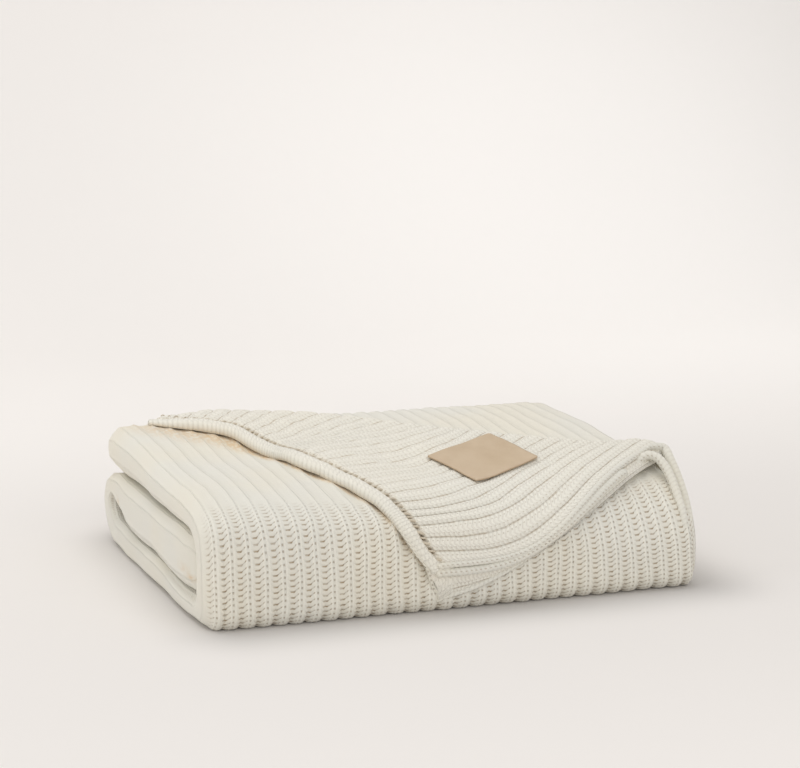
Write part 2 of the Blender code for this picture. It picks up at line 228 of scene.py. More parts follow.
# The ribs of the front end in scallops: below which height, over how much of it, both in metres, and
# how deep they are for the rise of a rib
FOOT_HEIGHTS = (0.030, 0.022)
FOOT_SCALLOP = 1.2

# Share of the outer face's rib rise that the turned corner's ribs have
FLAP_RELIEF = 0.75

# The turned corner's lines, by share of their number: on the band, on the body and on the roll
FLAP_SPANS = ((0.0, 0.12), (0.12, 0.90), (0.90, 1.0))

# Height of the band's section in thicknesses of the cloth, by place in widths of the band; and of its end
BAND_SHAPE = ([0, 0.05, 0.14, 0.28, 0.45, 0.62, 0.78, 0.90, 1.0, 1.10, 1.28],
              [0.40, 0.66, 0.90, 1.06, 1.12, 1.10, 1.00, 0.80, 0.62, 0.84, 1.0])
BAND_END_SHAPE = ([0, 0.05, 0.3], [0.4, 0.8, 1.0])

# Soft swells and creases of the turned corner, by share of the ribs and place from the band to the roll:
# "rise" lifts the cloth and "slide" moves it across its ribs, both in millimetres
Swell = namedtuple("Swell", "share place rise slide share_reach place_reach")
SWELLS = rows(
    Swell,
    (0.53, 0.26, 3.0, 3.0, 0.075, 0.16),
    (0.60, 0.42, -2.0, -3.0, 0.060, 0.14),
    (0.46, 0.48, 1.6, -1.5, 0.070, 0.16),
    (0.72, 0.30, 2.0, 2.0, 0.060, 0.18),
    (0.80, 0.55, -1.6, 1.5, 0.070, 0.20),
    (0.88, 0.30, 1.8, 2.0, 0.050, 0.20),
    (0.90, 0.72, 1.5, 0.0, 0.060, 0.16),
    (0.25, 0.50, 1.2, 1.0, 0.080, 0.30)
)

# How far the band stands off the cloth under it, beyond the solids, where the photo shows a dark gap
BandGap = namedtuple("BandGap", "share lift reach")
BAND_GAPS = rows(
    BandGap,
    (0.225, 1.6, 0.045),
    (0.475, 0.9, 0.030),
    (0.575, 1.1, 0.020),
    (0.668, 0.9, 0.025),
    (0.760, 0.8, 0.020),
    (0.915, 1.2, 0.025)
)

# Places where warm shade between the layers is painted into the yarn: a line from one point to another, in
# millimetres, and how far the painted warm shade reaches from the band's edge over the cloth outside it
WarmLine = namedtuple("WarmLine", "x0 y0 z0 x1 y1 z1 reach strength")
WARM_LINES = rows(
    WarmLine,
    (6, 292, 44, 10, 291, 34, 9, 0.8),
    (4, 78, 38, 6, 12, 27, 4, 0.7),
    (372, 8, 86, 426, 34, 98, 16, 0.5)
)
EdgeWarmShade = namedtuple("EdgeWarmShade", "share reach strength")
EDGE_WARM_SHADES = rows(
    EdgeWarmShade,
    (0.00, 34, 0.45),
    (0.06, 50, 0.65),
    (0.15, 50, 0.85),
    (0.24, 26, 0.90),
    (0.34, 8, 0.85),
    (0.60, 5, 0.80),
    (1.00, 3, 0.50)
)

# Across the selvedge side of the turned corner, from its lip to its foot: how far it bulges, in
# millimetres where the side is 25 mm tall, and which rib of the knit it carries
SIDE_TALL = 0.025
SidePoint = namedtuple("SidePoint", "place bulge rib")
SIDE_POINTS = rows(
    SidePoint,
    (0.00, 0.0, 27.00),
    (0.06, 1.6, 27.25),
    (0.12, 1.7, 27.50),
    (0.18, 0.6, 27.80),
    (0.22, -1.2, 28.00),
    (0.28, -0.6, 28.10),
    (0.40, 1.0, 28.30),
    (0.55, 2.0, 28.55),
    (0.70, 2.2, 28.85),
    (0.82, 1.6, 29.20),
    (0.92, 0.4, 29.45),
    (1.00, -2.0, 29.60)
)

# How much warm shade is painted on the turned corner's selvedge side, by rib, and on its underside, and how
# far the painted warm shade beside the band reaches under it, in metres
SIDE_WARMTH = ([27, 27.7, 28.0, 28.3, 28.8, 29.6], [0.0, 0.10, 0.45, 0.16, 0.05, 0.08])
UNDERSIDE_WARMTH = 0.75
INNER_WARM_SHADE = 0.012

# Half the span, the rise and the radius of one loop of yarn across the band's furrow, in metres
LOOP_SIZES = {"Span": 0.0042, "Rise": 0.0030, "Radius": 0.0013}


def colour_setting(name, description, default):
    """A colour that a user may set."""
    return bpy.props.FloatVectorProperty(
        name=name, description=description, subtype="COLOR", size=3, default=default, min=0.0, max=1.0)


class ThrowSettings(bpy.types.PropertyGroup):
    """Sizes and colours of the throw that a user would change."""

    rib_rise: bpy.props.FloatProperty(
        name="Rib Rise", description="Height of a rib above the valley beside it",
        default=0.0026, min=0.0, max=0.006, unit="LENGTH")
    stitch_row: bpy.props.FloatProperty(
        name="Stitch Row", description="Length of one row of stitches along a rib",
        default=0.0044, min=0.003, max=0.01, unit="LENGTH")
    cloth_colour: colour_setting("Cloth Colour", "Colour of the yarn", (0.84, 0.815, 0.735))
    # The warm colour is painted warm shade, mixed into the yarn between the layers and beside the band
    warm_colour: colour_setting(
        "Warm Colour", "Colour of the yarn where the light is warm between the layers", (0.70, 0.50, 0.27))
    # Painted shade deep between the stitches, mixed into the yarn's colour
    gap_shade_colour: colour_setting("Gap Colour", "Warm colour deep between the stitches", (0.36, 0.25, 0.13))
    leather_colour: colour_setting("Leather Colour", "Colour of the patch", (0.62, 0.49, 0.345))
    floor_colour: colour_setting("Floor Colour", "Colour of the floor", (0.905, 0.878, 0.855))
    light_strength: bpy.props.FloatProperty(
        name="Light Strength", description="Strength of the studio lights", default=1.0, min=0.0, max=4.0)


def smooth(t):
    """Ease from 0 to 1 with level ends."""
    t = np.clip(t, 0.0, 1.0)
    return t * t * (3.0 - 2.0 * t)


def hermite(f, start, stop, slope_start, slope_stop):
    """Places at shares f of the smooth curve from start to stop with those slopes."""
    first = (1 + 2 * f) * (1 - f) ** 2 * start + f * (1 - f) ** 2 * slope_start
    return first + f * f * (3 - 2 * f) * stop - f * f * (1 - f) * slope_stop


def through(points, knots, t):
    """Points at t on the smooth curve through the points at their knots."""
    points = np.asarray(points, float)
    t = np.atleast_1d(np.asarray(t, float))
    spans = np.diff(knots)
    slopes = np.diff(points, axis=0) / spans[:, None]
    weights = (spans[:-1] + spans[1:])[:, None]
    inner = (slopes[:-1] * spans[1:, None] + slopes[1:] * spans[:-1, None]) / weights
    slopes = np.vstack([slopes[:1], inner, slopes[-1:]])
    i = np.clip(np.searchsorted(knots, t, side="right") - 1, 0, len(knots) - 2)
    span = spans[i][:, None]
    f = (t - knots[i])[:, None] / span
    return hermite(f, points[i], points[i + 1], span * slopes[i], span * slopes[i + 1])


def front_profile(rib):
    """Height, from -0.5 to 0.5, across the ribs of the outer face: narrow ridges and wide valleys."""
    from_ridge = 0.5 - np.abs(rib - np.round(rib))
    ridge = smooth(1 - from_ridge / 0.30)
    pillow = np.cos(2 * np.pi * rib) * 0.12
    return ridge + pillow - 0.5


def back_profile(rib):
    """Height, from -0.5 to 0.5, across the ribs of the turned face: wide ribs and narrow furrows."""
    from_furrow = np.abs(rib - np.round(rib))
    return smooth(from_furrow / 0.17) * 0.85 + smooth(from_furrow / 0.5) * 0.15 - 0.5


class Strip:
    """The folded strip's two faces, at places along the fold and across the stack."""

    def __init__(self):
        self.rails = np.array([row[1:10] for row in FOLDS], float) * MM
        middle = self.rails[:, :8].reshape(len(FOLDS), 4, 2).mean(axis=1)
        steps = np.linalg.norm(np.diff(middle, axis=0), axis=1)
        self.knots = np.concatenate([[0.0], np.cumsum(steps)])
        self.flat_left = EDGE_ROUND
        self.flat_right = STACK_WIDTH - EDGE_ROUND
        self.ribs = int(round((self.flat_right - self.flat_left) / RIB_PITCH))
        self.places = np.linspace(0.0, self.knots[-1], STRIP_SAMPLES)
        face = self.faces(np.full(STRIP_SAMPLES, STACK_WIDTH / 2), self.places)[0]
        steps = np.linalg.norm(np.diff(face, axis=0), axis=1)
        self.lengths = np.concatenate([[0.0], np.cumsum(steps)])
        datum = np.interp(self.knots[FRONT_ROW], self.places, self.lengths)
        self.datum = datum + FOLDS[FRONT_ROW].yo_l * MM

    def faces(self, x, t):
        """Outer and inner face in the YZ plane at widths x and places t along the fold."""
        rails = through(self.rails, self.knots, t)
        share = (x / STACK_WIDTH)[:, None]
        mixed = rails[:, :4] * (1 - share) + rails[:, 4:8] * share
        off = np.minimum(np.abs(x - SAG_MIDDLE) / SAG_REACH, 1.0)
        outer = mixed[:, :2].copy()
        outer[:, 1] -= rails[:, 8] * np.cos(off * np.pi / 2) ** 2
        return outer, mixed[:, 2:]

    def skin(self, x_flat, turn, t, inset=0.0):
        """Places on the strip's skin and its normals: turn is 0 on top and +-90 degrees at an edge."""
        outer, inner = self.faces(x_flat, t)
        middle = (outer + inner) / 2
        half = (outer - inner) / 2
        thick = np.linalg.norm(half, axis=1)
        rise, reach = np.cos(turn), np.sin(turn)
        power = np.interp(t, self.knots[SQUARE_ROWS], [1.0, EDGE_SQUARE])
        skin = middle + half * (np.sign(rise) * np.abs(rise) ** power)[:, None]
        aside = EDGE_ROUND * np.sign(reach) * np.abs(reach) ** power
        inward = (x_flat / STACK_WIDTH * 2 - 1) * inset
        place = np.column_stack([x_flat + aside - inward, skin])
        up = half * (EDGE_ROUND * np.sign(rise) * np.abs(rise) ** (2 - power) / thick)[:, None]
        normal = np.column_stack([thick * np.sign(reach) * np.abs(reach) ** (2 - power), up])
        return place, normal / np.linalg.norm(normal, axis=1)[:, None]

    def point(self, x_flat, turn, t, lift):
        """Points off the strip's skin."""
        place, normal = self.skin(x_flat, turn, t)
        return place + normal * (np.zeros(len(t)) + lift)[:, None]

    def over(self, across, run, lift, wrap=0.0):
        """Points over the outer face, by the distance across the stack and the run along its face.

        Past the flat of the stack they follow the rounded edge where wrap is 1, and stay level where it is 0.
        """
        t = np.interp(self.datum - run, self.lengths, self.places)
        flat = np.clip(across, self.flat_left, self.flat_right)
        level = self.point(across, np.zeros(len(t)), t, lift)
        bent = self.point(flat, (across - flat) / EDGE_ROUND, t, lift)
        return level + (bent - level) * (np.zeros(len(t)) + wrap)[:, None]


def ring_layout(strip, cuts):
    """Flat width, turn and rib count of the points round a ring, closed by its last point."""
    left, right, last = strip.flat_left, strip.flat_right, strip.ribs
    over, back = np.arange(last * cuts), np.arange(1, last)
    edge = np.arange(EDGE_RIBS * cuts + 1)
    turn = math.pi * edge / (EDGE_RIBS * cuts)
    flats = [left + (right - left) * over / (last * cuts), right + edge * 0.0,
             right + (left - right) * back / last, left + edge * 0.0]
    turns = [over * 0.0, turn, math.pi + back * 0.0, turn - math.pi]
    ribs = [over / cuts, last + edge / cuts, last + EDGE_RIBS + back, edge / cuts - EDGE_RIBS]
    return np.concatenate(flats), np.concatenate(turns), np.concatenate(ribs)


def corner_map(u, v):
    """Rib and row of the corners of a grid of faces, from those of each face's four corners."""
    return np.stack(np.broadcast_arrays(u, v), -1).reshape(-1, 2)


def make_mesh(name, points, faces, loop_map=None, marks=None):
    """A smooth mesh object from points and faces, with the map of ribs and rows on its corners.

    marks are numbers kept for each point: "open", how far the knit is stretched open, and "warm", how much
    warm shade is painted on it.
    """
    data = bpy.data.meshes.new(name)
    data.from_pydata(points.tolist(), [], faces)
    if loop_map is not None:
        layer = data.uv_layers.new(name="knit")
        layer.data.foreach_set("uv", np.asarray(loop_map, np.float32).ravel())
    for key, values in (marks or {}).items():
        kept = data.attributes.new(key, "FLOAT", "POINT")
        kept.data.foreach_set("value", np.asarray(values, np.float32).ravel())
    data.polygons.foreach_set("use_smooth", [True] * len(data.polygons))
    data.update()
    thing = bpy.data.objects.new(name, data)
    bpy.context.collection.objects.link(thing)
    return thing


def distance_to_line(points, a, b):
    """Distance of points to the line from a to b."""
    along = b - a
    share = np.clip((points - a) @ along / (along @ along), 0.0, 1.0)
    return np.linalg.norm(points - a - share[:, None] * along, axis=1)


def warmth(points, across, run):
    """How much warm shade is painted on the cloth at points that are over a place across the stack and a run.
    """
    warm = np.zeros(len(points))
    for line in WARM_LINES:
        ends = np.array([line[0:3], line[3:6]], float) * MM
        off = distance_to_line(points, ends[0], ends[1])
        warm = np.maximum(warm, line.strength * smooth(1 - off / (line.reach * MM)))
    shares = np.linspace(0.0, 1.0, EDGE_SAMPLES)
    edge = flap_sections(shares)[:, :2]
    flat = np.column_stack([across, run])
    warm_shades = np.array(EDGE_WARM_SHADES, float)
    for i in range(len(shares) - 1):
        off = distance_to_line(flat, edge[i], edge[i + 1])
        side = (edge[i + 1] - edge[i]) @ np.array([[0.0, -1.0], [1.0, 0.0]])
        outside = (flat - edge[i]) @ side > 0
        reach = np.interp(shares[i], warm_shades[:, 0], warm_shades[:, 1]) * MM
        strength = np.interp(shares[i], warm_shades[:, 0], warm_shades[:, 2])
        # Painted warm shade beside the band's edge: wide outside it, narrow under it
        warm_shade = strength * np.where(outside, smooth(1 - off / reach), smooth(1 - off / INNER_WARM_SHADE))
        warm = np.maximum(warm, warm_shade)
    return warm


def wander(length, across):
    """A slow wander of the ribs sideways, in metres, along the fold and across the stack."""
    return MM * sum(size * np.sin(2 * np.pi * (length / along + across / aside) + start)
                    for along, aside, start, size in WAVES)


def make_skin(strip, name, start, stop, cuts, settings):
    """Part of the folded strip as a closed skin, from one length along the fold to another."""
    flats, turns, ribs = ring_layout(strip, RIB_CUTS)
    row = settings.stitch_row
    count = len(flats)
    rings = max(2, int(round((stop - start) / (row / cuts))) + 1)
    lengths = np.linspace(start, stop, rings)
    outer = (np.abs(turns) < math.pi - 0.01).astype(float)
    ridges = front_profile(ribs) * outer
    scallops = (np.abs(np.sin(np.pi * ribs)) ** 0.6 - 0.6) * outer
    index = np.arange(len(FOLDS))
    points = np.empty((rings, count, 3))
    open_face = np.empty((rings, count))
    for i, length in enumerate(lengths):
        t = float(np.interp(length, strip.lengths, strip.places))
        at = float(np.interp(t, strip.knots, index))
        end = min(at, len(FOLDS) - 1 - at)
        fade = min(1.0, end / 2)
        inset = NOSE_INSET * max(0.0, 1 - end / NOSE_RINGS) ** 2
        aside = wander(length, flats) * np.sin(np.pi * np.clip(flats / STACK_WIDTH, 0, 1)) ** 0.5 * fade
        place, normal = strip.skin(flats + aside, turns, np.full(count, t), inset)
        uneven = wander(length * 1.3 + 0.05, flats * 1.7) * 0.35 * fade
        early = OPEN_SOONER * smooth((place[:, 0] / MM - OPEN_WIDTH[0]) / OPEN_WIDTH[1])
        facing = smooth((np.abs(normal[:, 1]) - OPEN_TURN[0] + early) / OPEN_TURN[1])
        foot = smooth((FOOT_HEIGHTS[0] - place[:, 2]) / FOOT_HEIGHTS[1]) * facing
        ease = (TOP_RELIEF + (1 - TOP_RELIEF) * facing) * np.where(turns < 0, LEFT_RELIEF, 1.0)
        relief = ridges * ease * (1 - foot) + scallops * FOOT_SCALLOP * foot
        points[i] = place + normal * (relief * settings.rib_rise * fade + uneven)[:, None]
        open_face[i] = facing
    points[..., 2] = np.maximum(points[..., 2], 0.0)
    run = strip.datum - np.repeat(lengths, count)
    # Painted warm shade between the layers and beside the turned corner's band
    warm = warmth(points.reshape(-1, 3), points[..., 0].ravel(), run)
    a = np.arange(rings - 1)[:, None] * count + np.arange(count)[None, :]
    b = np.arange(rings - 1)[:, None] * count + (np.arange(count)[None, :] + 1) % count
    quads = np.stack([a, a + count, b + count, b], axis=-1).reshape(-1, 4)
    ribs_next = np.roll(ribs, -1)
    jump = np.abs(ribs_next - ribs) > 1.5
    ribs_next = np.where(jump, ribs, ribs_next)
    u = np.stack([ribs, ribs, ribs_next, ribs_next], -1)[None]
    v = np.stack([lengths[:-1], lengths[1:], lengths[1:], lengths[:-1]], -1)[:, None] / row
    faces = quads.tolist()
    faces.append(list(range(count)))
    faces.append(list(range(rings * count - 1, (rings - 1) * count - 1, -1)))
    loops = np.vstack([corner_map(u, v), np.zeros((2 * count, 2))])
    marks = {"open": open_face, "warm": warm}
    return make_mesh(name, points.reshape(-1, 3) - CENTRE, faces, loops, marks)


def flap_sections(share):
    """The four places of the sections at shares of the ribs: across, run and lift of each."""
    knots = np.array([row.share for row in FLAP])
    values = np.array([row[1:] for row in FLAP], float) * MM
    return through(values, knots, share)


def along_section(sections, v):
    """Across, run and lift at place v on each section, on the smooth curve through its four places."""
    points = sections.reshape(-1, 4, 3)
    steps = np.diff(points, axis=1)
    slopes = np.concatenate([steps[:, :1], (steps[:, :-1] + steps[:, 1:]) / 2, steps[:, -1:]], axis=1)
    i = np.clip((v * 3).astype(int), 0, 2)
    f = (v * 3 - i)[:, None]
    each = np.arange(len(v))
    return hermite(f, points[each, i], points[each, i + 1], slopes[each, i], slopes[each, i + 1])


def flap_heights(v, length, thick, stand_off, rib, rise):
    """Lift of the turned corner's top and underside over the stack at place v, and how far they wrap."""
    last = smooth((rib / FLAP_RIBS - 0.965) / 0.03)
    place = v * length / BAND_WIDTH
    tube = np.interp(place, *BAND_SHAPE)
    tube += (np.interp(place, *BAND_END_SHAPE) - tube) * last
    bead = np.cos(2 * np.pi * rib)
    notch = (0.5 + 0.5 * bead) * np.exp(-((place - 0.97) / 0.13) ** 2) * 0.0018 * (1 - last)
    knuckle = 0.25 * bead + 0.10 * np.cos(4 * np.pi * rib + 1.0)
    knuckle = knuckle * np.exp(-((place - 0.55) / 0.4) ** 2) * 0.0006
    ridges = back_profile(rib) * rise
    top = thick * tube + ridges * smooth((place - 1.0) / 0.3) - notch - knuckle
    roll = ROLL_REACH / length
    turn = np.clip((v - (1 - roll)) / roll, 0.0, 1.0)
    fall = np.sqrt(np.maximum(1 - turn ** 2.2, 0.0))
    over_roll = (stand_off + thick + ridges) * fall - ROLL_SINK * 0.2 * turn ** 4
    stages = [0, 0.55, 0.88, 1.0]
    under_roll = np.interp(turn, stages, [1.0, 0.75, 0.0, 0.0]) * stand_off
    under_roll -= np.interp(turn, stages, [0.0, 0.0, 0.5, 1.0]) * ROLL_SINK
    high = np.where(turn > 0, over_roll, stand_off + top)
    low = np.where(turn > 0, under_roll, stand_off * np.interp(place, [1.0, 2.0], [0.35, 1.0]))
    return high, low, np.interp(turn, stages, [0.0, 0.15, 0.6, 1.0])


def swell(shares, v):
    """Lift and slide across the ribs of the turned corner's soft swells and creases."""
    rise, slide = np.zeros(len(v)), np.zeros(len(v))
    for one in SWELLS:
        off = ((shares - one.share) / one.share_reach) ** 2 + ((v - one.place) / one.place_reach) ** 2
        rise += one.rise * MM * np.exp(-off)
        slide += one.slide * MM * np.exp(-off)
    fine = np.sin(2 * np.pi * (v * 3.1 + shares * 5.3))
    fine += 0.6 * np.sin(2 * np.pi * (v * 5.7 - shares * 8.1) + 1.7)
    fine *= np.sin(np.pi * np.clip(v, 0, 1)) * np.clip((1 - shares) * 8, 0.2, 1)
    return rise + 0.35 * MM * fine, slide + 0.5 * MM * fine


def band_gap(shares):
    """How far the band stands off the cloth under it."""
    lift = np.zeros(len(shares))
    for gap in BAND_GAPS:
        lift += gap.lift * MM * np.exp(-((shares - gap.share) / gap.reach) ** 2)
    return lift


def selvedge_side(lip, inner, foot):
    """Points of the side from the lip to the foot of the turned corner, a column to each side point."""
    table = np.array(SIDE_POINTS, float)
    down = foot - lip
    gap = np.linalg.norm(down, axis=1)
    out = lip - inner
    out -= down * (np.einsum("ij,ij->i", out, down) / gap ** 2)[:, None]
    wide = np.ones(9) / 9
    out = np.stack([np.convolve(np.pad(out[:, k], 4, mode="edge"), wide, "valid") for k in range(3)], axis=-1)
    out /= np.linalg.norm(out, axis=1)[:, None]
    scale = np.clip(gap / SIDE_TALL, 0.45, 1.0)
    columns = []
    for place, bulge, _ in table[1:-1]:
        columns.append(lip + down * place + out * (bulge * MM * scale)[:, None])
    columns.append(foot + out * (table[-1, 1] * MM * scale)[:, None])
    return np.stack(columns, axis=1)


def flap_faces(strip, shares, sections, gap, settings):
    """Top and underside of the turned corner and how far they are along the cloth, line by line."""
    thick = FLAP_THICK * (0.4 + 0.6 * smooth(shares / TAPER))
    start, stop = strip.over(*sections[:, :3].T), strip.over(*sections[:, 9:].T)
    length = np.maximum(np.linalg.norm(stop - start, axis=1), 1.15 * (BAND_WIDTH + ROLL_REACH))
    near, far = BAND_WIDTH * 1.3 / length, 1 - ROLL_REACH / length
    under_sections = sections.copy()
    under_sections[-1] = np.array(SELVEDGE_FOOT[1:], float) * MM
    rise = settings.rib_rise * FLAP_RELIEF
    top, under, travelled = [], [], []
    for w in np.linspace(0.0, 1.0, FLAP_LINES):
        band, body, roll = (min(max((w - a) / (b - a), 0.0), 1.0) for a, b in FLAP_SPANS)
        v = near * band + (far - near) * body + (1 - far) * roll
        spot, base = along_section(sections, v), along_section(under_sections, v)
        high, low, wrap = flap_heights(v, length, thick, spot[:, 2], shares * FLAP_RIBS, rise)
        lift, slide = swell(shares, v)
        lift = lift * (1 - wrap) + gap * np.exp(-(v * length / BAND_WIDTH) ** 2)
        low = low + np.where(v < far, base[:, 2] - spot[:, 2], 0.0)
        top.append(strip.over(spot[:, 0] + 0.4 * slide, spot[:, 1] + slide, high + lift, wrap))
        under.append(strip.over(base[:, 0], base[:, 1], low + np.maximum(lift, 0.0) * (shares < 1), wrap))
        travelled.append(v * length / settings.stitch_row)
    return np.array(top), np.array(under), np.array(travelled), length


def make_flap(strip, settings):
    """The turned-over corner as one closed skin, with its band, its ribs, its roll and its selvedge side."""
    lines, columns = FLAP_LINES, FLAP_RIBS * FLAP_CUTS
    shares = np.arange(columns + 1) / columns
    sections, gap = flap_sections(shares), band_gap(shares)
    top, under, travelled, length = flap_faces(strip, shares, sections, gap, settings)
    side = selvedge_side(top[:, -1], top[:, -3], under[:, -1])
    under[:, -1] = side[:, -1]
    side = side[:, :-1]
    width, extra = columns + 1, side.shape[1]
    points = np.concatenate([top.reshape(-1, 3), under.reshape(-1, 3), side.reshape(-1, 3)])
    grid = np.arange(lines * width).reshape(lines, width)
    base = grid + lines * width
    wall = np.arange(lines * extra).reshape(lines, extra) + 2 * lines * width
    wall = np.concatenate([grid[:, -1:], wall, base[:, -1:]], axis=1)
    uv = np.stack([np.broadcast_to(shares * FLAP_RIBS, grid.shape), travelled], -1)
    wall_ribs = np.array([point.rib for point in SIDE_POINTS])
    wall_uv = np.stack(np.broadcast_arrays(wall_ribs, travelled[:, -1:]), -1)
    faces, loops = [], []

    def add(corners, maps, flip=False):
        order = (0, 3, 2, 1) if flip else (0, 1, 2, 3)
        faces.extend(np.stack([corners[k] for k in order], -1).reshape(-1, 4).tolist())
        loops.append(np.stack([maps[k] for k in order], axis=-2).reshape(-1, 2))

    def four(values):
        return [values[:-1, :-1], values[:-1, 1:], values[1:, 1:], values[1:, :-1]]

    add(four(grid), four(uv))
    add(four(base), four(uv), flip=True)
    add(four(wall), four(wall_uv))
    start, stop = uv[:-1, 0], uv[1:, 0]
    add([grid[:-1, 0], grid[1:, 0], base[1:, 0], base[:-1, 0]], [start, stop, stop, start])
    for line, flip in ((0, False), (-1, True)):
        corners = [grid[line, :-1], base[line, :-1], base[line, 1:], grid[line, 1:]]
        start, stop = uv[line, :-1], uv[line, 1:]
        add(corners, [start, start, stop, stop], flip)
        end = wall[line].tolist()
        faces.append(end if flip else end[::-1])
        loops.append(np.tile([[FLAP_RIBS + 0.5, travelled[line, -1]]], (len(end), 1)))
    points[:, 2] = np.maximum(points[:, 2], 0.0004)
    warm = np.zeros(len(points))
    # Painted warm shade on the underside and on the selvedge side
    warm[base.ravel()] = UNDERSIDE_WARMTH
    warm[wall.ravel()] = np.tile(np.interp(wall_ribs, *SIDE_WARMTH), lines)
    marks = {"open": np.ones(len(points)), "warm": warm}
    thing = make_mesh("turned_corner", points - CENTRE, faces, np.vstack(loops), marks)
    seam = strip_seam(strip, sections, length, gap)
    return thing, {"lip": top[:, -1], "foot": under[:, -1], "band": top[0, ::-1], "seam": seam}


def sweep(name, path, radii, row):
    """A round cord along a path, closed at both ends, mapped in ribs round it and rows along it."""
    around = CORD_SIDES
    steps = np.linalg.norm(np.diff(path, axis=0), axis=1)
    reach = np.concatenate([[0.0], np.cumsum(steps)])
    count = int(reach[-1] / CORD_STEP)
    dense = np.linspace(0.0, reach[-1], count)
    points = through(path, reach, dense)
    size = np.interp(dense, reach, radii)
    ahead = np.gradient(points, axis=0)
    ahead /= np.linalg.norm(ahead, axis=1)[:, None]
    side = np.cross(ahead, [0.0, 0.0, 1.0])
    side /= np.maximum(np.linalg.norm(side, axis=1), 1e-6)[:, None]
    up = np.cross(side, ahead)
    ends = np.clip(np.minimum(dense, reach[-1] - dense) / size, 0.0, 1.0)
    size = size * np.maximum(np.sqrt(ends * (2 - ends)), 0.05) * (1 + 0.05 * np.cos(2 * np.pi * dense / row))
    turns = (np.arange(around) * 2 * np.pi / around)[None, :, None]
    ring = np.cos(turns) * side[:, None, :] + np.sin(turns) * up[:, None, :]
    verts = points[:, None, :] + ring * size[:, None, None]
    index = np.arange(count * around).reshape(count, around)
    nxt = np.roll(index, -1, axis=1)
    faces = np.stack([index[:-1], nxt[:-1], nxt[1:], index[1:]], -1).reshape(-1, 4).tolist()
    faces += [index[0][::-1].tolist(), index[-1].tolist()]
    u, v = np.arange(around + 1) / around * 1.6, dense / row
    u = np.stack([u[:-1], u[1:], u[1:], u[:-1]], -1)[None]
    v = np.stack([v[:-1], v[:-1], v[1:], v[1:]], -1)[:, None]
    loops = np.vstack([corner_map(u, v), np.zeros((2 * around, 2))])
    return make_mesh(name, verts.reshape(-1, 3) - CENTRE, faces, loops)


def strip_seam(strip, sections, length, gap):
    """Line along the furrow between the band and the ribs, with the way across it, for the loops of yarn."""
    lines = []
    for off in (0.80, 1.18):
        spot = along_section(sections, BAND_WIDTH * off / length)
        lines.append(strip.over(spot[:, 0], spot[:, 1], spot[:, 2] + FLAP_THICK * 0.78 + gap * 0.5))
    return lines


def cord_path(corner, which):
    """Path and radii of one selvedge cord.

    The outer and inner ones go along the lip of the turned corner, over the roll and down the right end. The
    one at the tip goes along the foot, round the tip and up the band.
    """
    lip, foot = corner["lip"], corner["foot"]
    if which == "tip":
        down = foot[0] - lip[0]
        hem = [int(share * len(lip)) for share in TIP_HEM]
        path = [foot[k] + (lip[k] - foot[k]) * 0.06 for k in hem] + [foot[0] - down * 0.04]
        path += [lip[0] + down * share for share in TIP_RISE]
        path += [corner["band"][k] for k in TIP_BAND]
        return np.array(path), np.array(TIP_RADII) * MM
    gap = np.linalg.norm(foot - lip, axis=1)
    if which == "outer":
        first, last, off = 0.05, 0.90, gap * -0.02
        size = np.clip(gap * 0.18, 0.0018, 0.0026)
    else:
        first, last, off = 0.03, 0.74, np.minimum(gap * 0.62, 0.0062)
        size = np.clip(gap * 0.40, 0.0030, 0.0037)
    keep = np.arange(int(first * len(lip)), int(last * len(lip)), 6)
    start = lip + (foot - lip) * (off / gap)[:, None]
    tail = np.array([point[1:] for point in CORDS_DOWN if point.cord == which]) * MM
    return np.vstack([start[keep], tail[:, :3]]), np.concatenate([size[keep], tail[:, 3]])


def spread_max(heights, reach):
    """Highest of the values around each place of a grid."""
    best = heights.copy()
    for i in range(-reach, reach + 1):
        for j in range(-reach, reach + 1):
            best = np.maximum(best, np.roll(np.roll(heights, i, axis=0), j, axis=1))
    return best


def soften(heights, times):
    """Even out a grid of heights."""
    for _ in range(times):
        wide = np.pad(heights, 1, mode="edge")
        heights = (wide[:-2, 1:-1] + wide[2:, 1:-1] + wide[1:-1, :-2] + wide[1:-1, 2:] + 2 * heights) / 6
    return heights


